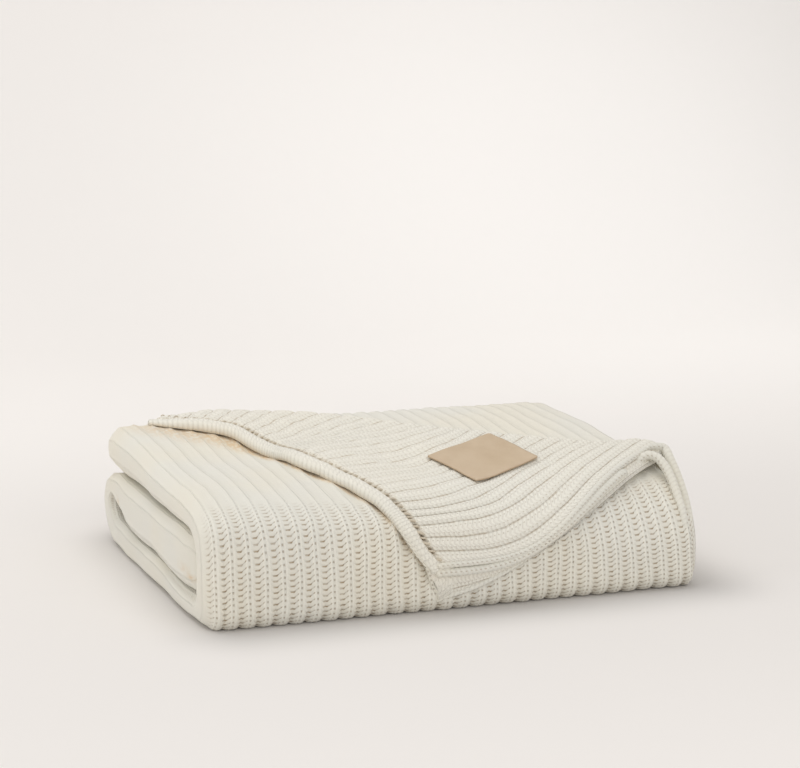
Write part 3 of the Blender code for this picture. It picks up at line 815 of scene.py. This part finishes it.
def make_patch(cloth):
    """The leather patch as a thin plate that lies over the ridges of the cloth under it."""
    middle = np.array(PATCH_MIDDLE) - CENTRE[:2]
    along = np.array([math.cos(PATCH_TURN), math.sin(PATCH_TURN)])
    aside = np.array([-along[1], along[0]])
    cloth = cloth.data
    tree = BVHTree.FromPolygons([v.co for v in cloth.vertices], [p.vertices[:] for p in cloth.polygons])
    cuts, margin = PATCH_CUTS, PATCH_MARGIN
    half = np.array([PATCH_LENGTH, PATCH_WIDTH]) / 2
    steps = np.arange(-margin, cuts + margin + 1) / cuts * 2 - 1
    s, t = np.meshgrid(steps, steps, indexing="ij")
    plan = middle + along * (s * half[0])[..., None] + aside * (t * half[1] * PATCH_SLOPE)[..., None]
    hits = [tree.ray_cast(Vector((x, y, 1.0)), Vector((0, 0, -1)))[0] for x, y in plan.reshape(-1, 2)]
    heights = np.array([hit.z if hit else 0.0 for hit in hits])
    heights = soften(spread_max(heights.reshape(s.shape), PATCH_REACH), PATCH_ROUNDS)
    heights = heights[margin:-margin, margin:-margin] + SEAT_GAP
    s, t = s[margin:-margin, margin:-margin], t[margin:-margin, margin:-margin]
    outline = round_square(s, t, half, PATCH_CORNER)
    plan = middle + along * outline[..., :1] + aside * outline[..., 1:] * PATCH_SLOPE
    place = np.concatenate([plan, heights[..., None]], axis=-1)
    normal = np.cross(np.gradient(place, axis=0), np.gradient(place, axis=1))
    normal /= np.linalg.norm(normal, axis=-1)[..., None]
    edge = np.maximum(np.abs(s), np.abs(t))
    dome = 0.00012 * np.sin(7 * s + 1.3) * np.sin(5 * t + 0.4)
    ease = np.where(edge > 0.999, 0.70, 1.0)
    over = place + normal * (PATCH_THICK * ease + dome)[..., None]
    under = place + normal * (PATCH_THICK * (1 - ease))[..., None]
    width = cuts + 1
    index = np.arange(width * width).reshape(width, width)
    faces = np.stack([index[:-1, :-1], index[1:, :-1], index[1:, 1:], index[:-1, 1:]], -1).reshape(-1, 4)
    low = faces[:, ::-1] + width * width
    ring = np.concatenate([index[:-1, 0], index[-1, :-1], index[:0:-1, -1], index[0, :0:-1]])
    nxt = np.roll(ring, -1)
    wall = np.stack([ring, ring + width * width, nxt + width * width, nxt], -1)
    quads = np.vstack([faces, low, wall])
    flat_map = np.vstack([outline.reshape(-1, 2)] * 2)
    points = np.vstack([over.reshape(-1, 3), under.reshape(-1, 3)])
    return make_mesh("leather_patch", points, quads.tolist(), flat_map[quads.ravel()])


def round_square(s, t, half, corner):
    """Square places in -1 to 1 moved onto a rectangle with rounded corners, in metres."""
    x, y = s * half[0], t * half[1]
    reach_x = np.maximum(np.abs(x) - (half[0] - corner), 0.0)
    reach_y = np.maximum(np.abs(y) - (half[1] - corner), 0.0)
    both = (reach_x > 0) & (reach_y > 0)
    length = np.sqrt(reach_x ** 2 + reach_y ** 2)
    factor = np.maximum(reach_x, reach_y) / np.maximum(length, 1e-9)
    x = np.where(both, np.sign(x) * (half[0] - corner + reach_x * factor), x)
    y = np.where(both, np.sign(y) * (half[1] - corner + reach_y * factor), y)
    return np.stack([x, y], -1)


class Sock:
    """A number socket with the operators of Python."""

    def __init__(self, tree, socket):
        self.tree = tree
        self.socket = socket

    def maths(self, operation, *values):
        """A number worked out from others."""
        return self.tree.node("ShaderNodeMath", {"operation": operation}, values)[0]

    def __add__(self, other):
        return self.maths("ADD", self, other)

    def __sub__(self, other):
        return self.maths("SUBTRACT", self, other)

    def __rsub__(self, other):
        return self.maths("SUBTRACT", other, self)

    def __mul__(self, other):
        return self.maths("MULTIPLY", self, other)

    __rmul__ = __mul__

    def __truediv__(self, other):
        return self.maths("DIVIDE", self, other)

    def __pow__(self, other):
        return self.maths("POWER", self, other)

    def __abs__(self):
        return self.maths("ABSOLUTE", self)

    def fract(self):
        """What is left past the whole number below."""
        return self.maths("FRACT", self)

    def low(self, other):
        """The lower of two numbers."""
        return self.maths("MINIMUM", self, other)

    def high(self, other):
        """The higher of two numbers."""
        return self.maths("MAXIMUM", self, other)

    def ease(self, start, stop):
        """0 before start and 1 after stop, smooth between them; start may be past stop."""
        values = {"Value": self, "From Min": min(start, stop), "From Max": max(start, stop)}
        if start > stop:
            values.update({"To Min": 1.0, "To Max": 0.0})
        return self.tree.node("ShaderNodeMapRange", {"interpolation_type": "SMOOTHSTEP"}, values)[0]

    def near(self):
        """Distance to the nearest whole number."""
        return abs((self + 0.5).fract() - 0.5)


class Tree:
    """A node tree in the making."""

    def __init__(self, tree):
        self.tree = tree

    def node(self, kind, settings=None, values=()):
        """Add a node, its settings first and then its sockets' values or links. Its outputs come back."""
        made = self.tree.nodes.new(kind)
        for key, value in (settings or {}).items():
            setattr(made, key, value)
        self.fill(made, values)
        return [Sock(self, out) for out in made.outputs]

    def fill(self, node, values):
        """Link the sockets of a node, or set their values."""
        for key, value in values.items() if isinstance(values, dict) else enumerate(values):
            socket = node.inputs[key]
            if isinstance(value, Sock):
                self.tree.links.new(value.socket, socket)
            elif socket.type == "RGBA":
                socket.default_value = (*value, 1.0)
            else:
                socket.default_value = value

    def mix(self, factor, a, b):
        """Mix two colours."""
        made = self.tree.nodes.new("ShaderNodeMix")
        made.data_type = "RGBA"
        self.fill(made, {0: factor, 6: a, 7: b})
        return Sock(self, made.outputs[2])

    def noise(self, vector, scale, detail=2.0, rough=0.5):
        """Noise from 0 to 1."""
        values = {"Vector": vector, "Scale": scale, "Detail": detail, "Roughness": rough}
        return self.node("ShaderNodeTexNoise", {}, values)[0]

    def join(self, x, y, z=0.0):
        """A vector from three numbers."""
        return self.node("ShaderNodeCombineXYZ", {}, (x, y, z))[0]

    def split(self, vector):
        """The three numbers of a vector."""
        return self.node("ShaderNodeSeparateXYZ", {}, (vector,))

    def place(self):
        """The place in the object's own coordinates."""
        return self.node("ShaderNodeTexCoord")[3]

    def map(self):
        """The first two numbers of the cloth's or the leather's map."""
        return self.split(self.node("ShaderNodeUVMap", {"uv_map": "knit"})[0])[:2]

    def mark(self, name):
        """A number kept for each point of the mesh."""
        return self.node("ShaderNodeAttribute", {"attribute_name": name})[2]

    def bump(self, height, strength=1.0):
        """A bump from a height in metres."""
        return self.node("ShaderNodeBump", {}, {"Height": height, "Strength": strength, "Distance": 1.0})[0]


def new_material(name):
    """A material with its tree in the making."""
    material = bpy.data.materials.new(name)
    material.use_nodes = True
    return material, Tree(material.node_tree)


def finish_shader(tree, values):
    """Link the shader's sockets, or set their values."""
    tree.fill(tree.tree.nodes["Principled BSDF"], values)


def tint(colour, *factors):
    """A colour times one factor, or times three."""
    factors = factors * 3 if len(factors) == 1 else factors
    return tuple(min(1.0, c * k) for c, k in zip(colour, factors))


def yarn_loops(seam, material):
    """Small loops of yarn that cross the furrow along the band: one to each rib and one to each furrow."""
    low, high = seam
    columns = len(low) - 1
    spots, turns, sizes = [], [], []
    for k in range(1, FLAP_RIBS * 2):
        i = int(round(k * columns / (FLAP_RIBS * 2)))
        across = high[i] - low[i]
        along = low[min(i + 3, columns)] - low[max(i - 3, 0)]
        along /= np.linalg.norm(along)
        up = np.cross(across, along)
        up = up / np.linalg.norm(up) * (1 if up[2] > 0 else -1)
        skew = 0.45 if k % 2 else 0.15
        way = across / np.linalg.norm(across) + along * skew
        way -= up * (way @ up)
        way /= np.linalg.norm(way)
        axes = Matrix((way, np.cross(up, way), up)).transposed()
        spots.append((low[i] + high[i]) / 2 - CENTRE)
        turns.append(tuple(axes.to_euler()))
        sizes.append((0.85 if k % 2 else 0.65) * float(smooth(k / 10) * 0.5 + 0.5))
    data = bpy.data.meshes.new("band_loops")
    data.from_pydata([tuple(spot) for spot in spots], [], [])
    data.attributes.new("turn", "FLOAT_VECTOR", "POINT").data.foreach_set("vector", np.ravel(turns))
    data.attributes.new("size", "FLOAT", "POINT").data.foreach_set("value", sizes)
    thing = bpy.data.objects.new("band_loops", data)
    bpy.context.collection.objects.link(thing)
    group = loop_group(material)
    modifier = thing.modifiers.new("loops", "NODES")
    modifier.node_group = group
    for item in group.interface.items_tree:
        if item.in_out == "INPUT" and item.name in LOOP_SIZES:
            modifier[item.identifier] = LOOP_SIZES[item.name]
    graph = bpy.context.evaluated_depsgraph_get()
    made = bpy.data.meshes.new_from_object(thing.evaluated_get(graph))
    thing.modifiers.clear()
    thing.data = made
    return thing


def loop_group(material):
    """Nodes that put one bent tube of yarn at each point, turned and sized by its attributes."""
    group = bpy.data.node_groups.new("yarn loops", "GeometryNodeTree")
    face = group.interface
    face.new_socket("Geometry", in_out="INPUT", socket_type="NodeSocketGeometry")
    for name in LOOP_SIZES:
        face.new_socket(name, in_out="INPUT", socket_type="NodeSocketFloat")
    face.new_socket("Geometry", in_out="OUTPUT", socket_type="NodeSocketGeometry")
    tree = Tree(group)
    points, span, rise, radius = tree.node("NodeGroupInput")[:4]
    values = {"Resolution": 10, "Start": tree.join(span * -1.0, 0.0), "Middle": tree.join(0.0, 0.0, rise),
              "End": tree.join(span, 0.0)}
    bend = tree.node("GeometryNodeCurveQuadraticBezier", {}, values)[0]
    ring = tree.node("GeometryNodeCurvePrimitiveCircle", {}, {"Resolution": 10, "Radius": radius})[0]
    values = {"Curve": bend, "Profile Curve": ring, "Fill Caps": True}
    tube = tree.node("GeometryNodeCurveToMesh", {}, values)[0]
    kind = "GeometryNodeInputNamedAttribute"
    turn = tree.node(kind, {"data_type": "FLOAT_VECTOR"}, {"Name": "turn"})[0]
    size = tree.node(kind, {"data_type": "FLOAT"}, {"Name": "size"})[0]
    values = {"Points": points, "Instance": tube, "Rotation": turn, "Scale": size}
    spread = tree.node("GeometryNodeInstanceOnPoints", {}, values)[0]
    real = tree.node("GeometryNodeRealizeInstances", {}, {"Geometry": spread})[0]
    soft = tree.node("GeometryNodeSetShadeSmooth", {}, {"Geometry": real})[0]
    paint = tree.node("GeometryNodeSetMaterial", {}, {"Geometry": soft, "Material": material})[0]
    tree.node("NodeGroupOutput", {}, {"Geometry": paint})
    return group


def knit_map(tree):
    """Rib and row numbers of the cloth from its map, with a little wander of the yarn."""
    rib, row = tree.map()
    aside = tree.noise(tree.join(rib * 0.7, row * 0.35), 1.0, 1.0) - 0.5
    slip = tree.noise(tree.join(rib * 0.9 + 7.0, row * 0.25), 1.0, 1.0) - 0.5
    return rib + aside * 0.10, row + slip * 0.40


def finish_cloth(tree, settings, rib, row, height, stitch_shade, warm_shade, bright=0.0):
    """Yarn colour, fibre and bump shared by the faces of the knit."""
    place = tree.place()
    broad = tree.noise(place, 9.0, 2.0)
    cloud = tree.noise(place, 70.0, 3.0, 0.6)
    fuzz = tree.noise(place, 1100.0, 2.0, 0.6)
    base, warm = tuple(settings.cloth_colour), tuple(settings.warm_colour)
    yarn = tree.mix(broad.ease(0.3, 0.7), tint(base, 1.0, 0.985, 0.94), tint(base, 0.97, 0.985, 1.0))
    yarn = tree.mix(0.25 * cloud, yarn, tint(base, 0.94))
    yarn = tree.mix(0.14 * fuzz, yarn, tint(base, 0.82))
    streak = tree.noise(tree.join(rib * 5.0, row * 0.55), 1.0, 2.0).ease(0.30, 0.62)
    # Painted warm shade from the mark kept on the mesh, streaky along the ribs
    yarn = tree.mix(tree.mark("warm") * (streak * 0.7 + 0.3), yarn, warm)
    # Painted warm shade in the stitches' recesses and along the band
    yarn = tree.mix(warm_shade, yarn, warm)
    # Painted highlight on the outer face's bright ridge strands; the turned face passes a fixed 1.4, which
    # lightens all its yarn
    yarn = tree.mix(bright * 0.5, yarn, tint(base, 1.08))
    # Painted shade in the stitches' recesses, mixed toward the gap colour
    colour = tree.mix(stitch_shade, yarn, tuple(settings.gap_shade_colour))
    total = height + (fuzz - 0.5) * 0.00018 + (cloud - 0.5) * 0.00030
    finish_shader(tree, {
        "Base Color": colour, "Normal": tree.bump(total), "Roughness": 0.92, "Specular IOR Level": 0.15,
        "Sheen Weight": 0.20, "Sheen Roughness": 0.6})


def outer_knit(settings):
    """The face of the cloth outside: columns of hooked stitches between twin strands with small holes."""
    material, tree = new_material("rib knit, outer face")
    rib, row = knit_map(tree)
    stretch = tree.mark("open")
    side = (rib + 0.5).fract() - 0.5
    off = abs(side)
    uneven = tree.noise(tree.join(rib * 3.1, row * 0.9), 1.0, 1.0).ease(0.30, 0.60) * 0.5 + 0.5
    # The hook: a thick dash low in the column, a tail that rises to the right and a faint arm on the left
    tail = (side - 0.08).high(0.0)
    arm = (side * -1.0 - 0.14).high(0.0)
    arc = (row + tail * 2.7 + arm * 3.0).near()
    bottom = abs(side + 0.01).ease(0.19, 0.10)
    thick = bottom * 0.095 + 0.070
    line = (arc / thick).ease(1.0, 0.45)
    reach = side.ease(0.36, 0.30) * side.ease(-0.32, -0.18)
    line = line * reach * (bottom * 0.55 + side.ease(-0.05, 0.15) * 0.30 + 0.10)
    knot = abs(side - 0.31).ease(0.055, 0.02) * arc.ease(0.15, 0.06)
    ridge = 0.5 - off
    hole = ridge.ease(0.060, 0.020) * (row - 0.30).near().ease(0.24, 0.10)
    groove = ridge.ease(0.06, 0.0) * (1 - stretch)
    strand = (row + ridge * 2.4).near().ease(0.16, 0.02) * ridge.ease(0.20, 0.13) * ridge.ease(0.035, 0.07)
    bright = ridge.ease(0.24, 0.16) * ridge.ease(0.04, 0.09)
    yarn = arc.ease(0.0, 0.40) * off.ease(0.38, 0.26)
    faint = stretch * 0.85 + 0.15
    height = (yarn * 0.0003 + bright * 0.0002 - line * 0.0006 - hole * 0.0006 - strand * 0.0001) * faint
    height = height - groove * 0.00030
    # Painted shade in the hooks, knots and holes, and along the twin strands
    stitch_shade = (line * 1.15 + knot * 0.60 + hole * 0.62) * uneven + strand * 0.03
    stitch_shade = stitch_shade * faint * stretch.ease(0.0, 0.6)
    # Painted warm shade in the valleys where the knit is open
    warm_shade = off.ease(0.30, 0.05) * stretch * 0.07
    finish_cloth(tree, settings, rib, row, height, (stitch_shade * 0.92).low(0.85), warm_shade, bright * stretch)
    return material


def turned_knit(settings):
    """The other face of the cloth: wide ribs with faint rows of dots, thin furrows and the knitted band."""
    material, tree = new_material("rib knit, turned face")
    rib, row = knit_map(tree)
    off = rib.near()
    band_rows = BAND_WIDTH / settings.stitch_row
    body = row.ease(band_rows - 0.05, band_rows + 0.35)
    patchy = tree.noise(tree.join(rib * 1.7, row * 0.45), 1.0, 2.0).ease(0.34, 0.62)
    furrow = off.ease(0.060, 0.012) * body
    hairs = (row + off * 3.0).near().ease(0.24, 0.08) * off.ease(0.17, 0.03) * body
    beads = (row + off * 0.8).near().ease(0.26, 0.08)
    dots = beads * abs(off - 0.27).ease(0.055, 0.015) * body
    chevron = (row + off * 2.2).near().ease(0.30, 0.0) * off.ease(0.06, 0.14) * body
    # The band: soft columns, and along its inner edge one dark stitch to a rib with short hairs below it
    edge = 1 - body
    inside = rib.ease(FLAP_RIBS - 0.05, FLAP_RIBS - 0.20)
    course = rib * 3.0 + row * 0.35
    strand = course.near().ease(0.20, 0.04) * edge
    loop = (row + course.fract() * 0.5).near().ease(0.22, 0.05) * edge
    seam = abs(row - band_rows + off * 0.9 - 0.05).ease(0.30, 0.06) * inside
    spot = abs(row - band_rows + 0.02).ease(0.40, 0.12) * off.ease(0.30, 0.12) * inside
    below = row.ease(band_rows - 1.3, band_rows - 0.7) * row.ease(band_rows + 0.1, band_rows - 0.2)
    hair = (rib * 7.0 + row * 1.3).near().ease(0.22, 0.05) * below * off.ease(0.40, 0.20) * inside
    height = (chevron * -0.00045 - furrow * 0.0005 - dots * 0.0004 - hairs * 0.0003 - strand * 0.00030
              - loop * 0.00030 - seam * 0.0006 - spot * 0.0010)
    # Painted shade in the furrows, hairs, dots, chevrons, the band's strands, loops, seam and holes
    stitch_shade = (furrow * (patchy * 0.30 + 0.06) + hairs * 0.14 + dots * 0.30 + chevron * 0.08 + strand * 0.03
            + loop * 0.04 + seam * 0.12 + spot * 0.50 + hair * 0.30)
    # Painted warm shade in the furrows, the band's seam and holes, and along the band's inner edge
    warm_shade = (off.ease(0.11, 0.02) * body * patchy * 0.45 + seam * 0.30 + spot * 0.5
             + abs(row - band_rows).ease(1.5, 0.2) * 0.22 * inside)
    finish_cloth(tree, settings, rib, row, height, stitch_shade.low(0.85), warm_shade.low(0.9), 1.4)
    return material


def cord_knit(settings):
    """The selvedge cords and loops: smooth plump stitches with a row of small dots."""
    material, tree = new_material("rib knit, selvedge cord")
    rib, row = knit_map(tree)
    off = rib.near()
    dots = (row + off).near().ease(0.28, 0.10) * off.ease(0.10, 0.03)
    stitch = (row + off * 1.4).near().ease(0.25, 0.0)
    # Painted shade in the dots and between the stitches
    stitch_shade = (dots * 0.30 + stitch * 0.06).low(0.8)
    # The last value passed is a little painted warm shade in the dots
    finish_cloth(tree, settings, rib, row, dots * -0.0005 - stitch * 0.0003, stitch_shade, dots * 0.1)
    return material


def leather(settings):
    """Smooth tan leather with a fine grain, broad paler clouds and darker cut edges."""
    material, tree = new_material("tan leather")
    place = tree.place()
    x, y = tree.map()
    rim = (abs(x) / (PATCH_LENGTH / 2)).high(abs(y) / (PATCH_WIDTH / 2)).ease(0.955, 1.0)
    values = {"Vector": place, "Scale": 1500.0}
    grain = tree.node("ShaderNodeTexVoronoi", {"feature": "DISTANCE_TO_EDGE"}, values)[0]
    cloud = tree.noise(place, 45.0, 3.0)
    broad = tree.noise(place, 14.0, 1.0)
    base = tuple(settings.leather_colour)
    colour = tree.mix(cloud.ease(0.3, 0.75), base, tint(base, 0.92, 0.90, 0.87))
    colour = tree.mix(broad.ease(0.35, 0.7) * 0.6, colour, tint(base, 1.07, 1.08, 1.10))
    colour = tree.mix(rim * 0.55, colour, tint(base, 0.62, 0.54, 0.46))
    height = grain.ease(0.0, 0.3) * 0.00005 + cloud * 0.00020
    finish_shader(tree, {
        "Base Color": colour, "Roughness": cloud * 0.15 + 0.50, "Normal": tree.bump(height, 0.8),
        "Specular IOR Level": 0.35})
    return material


def stage_material(name, colour, rough):
    """A plain matt floor with a painted shadow where the stack touches it, and a painted pool of light
    glowing on the backdrop behind.
    """
    material, tree = new_material(name)
    x, y, z = tree.split(tree.place())
    out_x, out_y = (abs(x - 0.012) - 0.200).high(0.0), (abs(y + 0.010) - 0.168).high(0.0)
    away = (out_x * out_x + out_y * out_y) ** 0.5
    # Painted shadow: darker near the stack's footprint, strong at the contact and faint further out
    near = (away.ease(0.11, 0.0) ** 2.0 * 0.46 + away.ease(0.60, 0.0) * 0.08).low(0.8)
    # A painted pool of light: the backdrop glows by emission, rising toward the back and brightest round a
    # spot right of the middle
    off = ((x - 1.00) * (x - 1.00) + (z - 0.22) * (z - 0.22) * 2.0) ** 0.5
    painted_glow = y.ease(-0.1, 1.2) * (off.ease(1.1, 0.1) * 0.13 + 0.085)
    finish_shader(tree, {
        "Base Color": tree.mix(near, colour, tint(colour, 0.45)), "Roughness": rough,
        "Specular IOR Level": 0.1, "Emission Color": tree.join(painted_glow, painted_glow, painted_glow * 0.985),
        "Emission Strength": 1.0})
    return material


class THROW_OT_stack(bpy.types.Operator):
    """Make the folded stack: the top layer with its front, and the layers under it."""

    bl_idname = "throw.stack"
    bl_label = "Folded Stack"

    def execute(self, context):
        settings = context.scene.throw_settings
        strip = Strip()
        foot = float(np.interp(strip.knots[FOOT_ROW], strip.places, strip.lengths))
        row = settings.stitch_row
        foot = round(foot / row) * row
        top = make_skin(strip, "top_layer", 0.0, foot, ROW_CUTS, settings)
        total = float(strip.lengths[-1])
        under = make_skin(strip, "under_layers", foot - row, total, UNDER_ROW_CUTS, settings)
        material = outer_knit(settings)
        for thing in (top, under):
            thing.data.materials.append(material)
            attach(thing, "root")
        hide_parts("throw")
        return {"FINISHED"}


class THROW_OT_corner(bpy.types.Operator):
    """Make the corner that is turned over, with its knitted band and its selvedge cords."""

    bl_idname = "throw.corner"
    bl_label = "Turned Corner"

    def execute(self, context):
        settings = context.scene.throw_settings
        strip = Strip()
        corner, lines = make_flap(strip, settings)
        corner.data.materials.append(turned_knit(settings))
        cords = cord_knit(settings)
        trims = [yarn_loops(lines["seam"], cords)]
        for which in ("outer", "inner", "tip"):
            path, radii = cord_path(lines, which)
            trims.append(sweep("selvedge_cord_" + which, path, radii, settings.stitch_row))
            trims[-1].data.materials.append(cords)
        for thing in [corner] + trims:
            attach(thing, "root")
        return {"FINISHED"}


class THROW_OT_patch(bpy.types.Operator):
    """Make the leather patch on the turned corner."""

    bl_idname = "throw.patch"
    bl_label = "Leather Patch"

    def execute(self, context):
        settings = context.scene.throw_settings
        patch = make_patch(bpy.data.objects["turned_corner"])
        patch.data.materials.append(leather(settings))
        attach(patch, "root")
        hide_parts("patch")
        return {"FINISHED"}


def look_from(camera, place, yaw, pitch):
    """Put the camera at a place, looking along a yaw from +Y and a pitch below the horizon."""
    ahead = Vector((math.sin(yaw) * math.cos(pitch), math.cos(yaw) * math.cos(pitch), -math.sin(pitch)))
    camera.location = place
    camera.rotation_euler = ahead.to_track_quat("-Z", "Y").to_euler()


def add_area(name, place, aim, size, energy, colour):
    """A square area light."""
    data = bpy.data.lights.new(name, "AREA")
    data.size = size
    data.energy = energy
    data.color = colour
    lamp = bpy.data.objects.new(name, data)
    lamp.location = place
    lamp.rotation_euler = (Vector(aim) - Vector(place)).to_track_quat("-Z", "Y").to_euler()
    bpy.context.collection.objects.link(lamp)


def add_floor(settings):
    """The floor, which bends up into the backdrop."""
    bend, radius, steps = 1.2, 0.9, 12
    profile = [(-3.0, 0.0), (bend, 0.0)]
    for step in range(1, steps + 1):
        angle = math.pi / 2 * step / steps
        profile.append((bend + radius * math.sin(angle), radius - radius * math.cos(angle)))
    profile.append((bend + radius, 4.0))
    points = np.array([(x, y, z - FLOOR_GAP) for x in (-5.0, 5.0) for y, z in profile])
    count = len(profile)
    quads = [[i, i + count, i + count + 1, i + 1] for i in range(count - 1)]
    floor = make_mesh("floor", points, quads)
    floor.data.materials.append(stage_material("pale floor", tuple(settings.floor_colour), 0.85))


def add_camera(scene):
    """The camera of the photo."""
    data = bpy.data.cameras.new("camera")
    data.sensor_width = 36.0
    data.lens = data.sensor_width * FOCAL_LENGTH / PHOTO_SIZE[0]
    data.sensor_fit = "HORIZONTAL"
    data.clip_end = 50.0
    camera = bpy.data.objects.new("camera", data)
    bpy.context.collection.objects.link(camera)
    pitch = math.atan((PHOTO_SIZE[1] / 2 - HORIZON) / FOCAL_LENGTH)
    look_from(camera, CAMERA_PLACE - CENTRE, CAMERA_YAW, pitch)
    scene.camera = camera


class THROW_OT_stage(bpy.types.Operator):
    """Make the floor, the backdrop, the soft lights and the camera."""

    bl_idname = "throw.stage"
    bl_label = "Stage"

    def execute(self, context):
        settings = context.scene.throw_settings
        strength = settings.light_strength
        add_floor(settings)
        world = bpy.data.worlds.new("studio")
        context.scene.world = world
        world.use_nodes = True
        background = world.node_tree.nodes["Background"]
        background.inputs["Color"].default_value = (1.0, 0.985, 0.97, 1.0)
        background.inputs["Strength"].default_value = 0.60 * strength
        for name, place, aim, size, power, colour in LIGHTS:
            add_area(name, place, aim, size, power * strength, colour)
        context.scene.view_settings.view_transform = "Standard"
        add_camera(context.scene)
        return {"FINISHED"}


class THROW_PT_panel(bpy.types.Panel):
    """Sizes, colours and pieces of the throw."""

    bl_idname = "THROW_PT_panel"
    bl_label = "Folded Knit Throw"
    bl_space_type = "VIEW_3D"
    bl_region_type = "UI"
    bl_category = "Throw"

    def draw(self, context):
        settings = context.scene.throw_settings
        for name in ("rib_rise", "stitch_row", "cloth_colour", "warm_colour", "gap_shade_colour", "leather_colour",
                     "floor_colour", "light_strength"):
            self.layout.prop(settings, name)
        for operator in (THROW_OT_stack, THROW_OT_corner, THROW_OT_patch, THROW_OT_stage):
            self.layout.operator(operator.bl_idname)


CLASSES = (ThrowSettings, THROW_OT_stack, THROW_OT_corner, THROW_OT_patch, THROW_OT_stage, THROW_PT_panel)


def register():
    """Register the classes and the settings."""
    for kind in CLASSES:
        bpy.utils.register_class(kind)
    bpy.types.Scene.throw_settings = bpy.props.PointerProperty(type=ThrowSettings)


def unregister():
    """Take the classes and the settings away again."""
    del bpy.types.Scene.throw_settings
    for kind in reversed(CLASSES):
        bpy.utils.unregister_class(kind)


def main():
    """Make the pieces in order."""
    register()
    bpy.ops.throw.stack()
    bpy.ops.throw.corner()
    bpy.ops.throw.patch()
    bpy.ops.throw.stage()


if __name__ == "__main__":
    main()
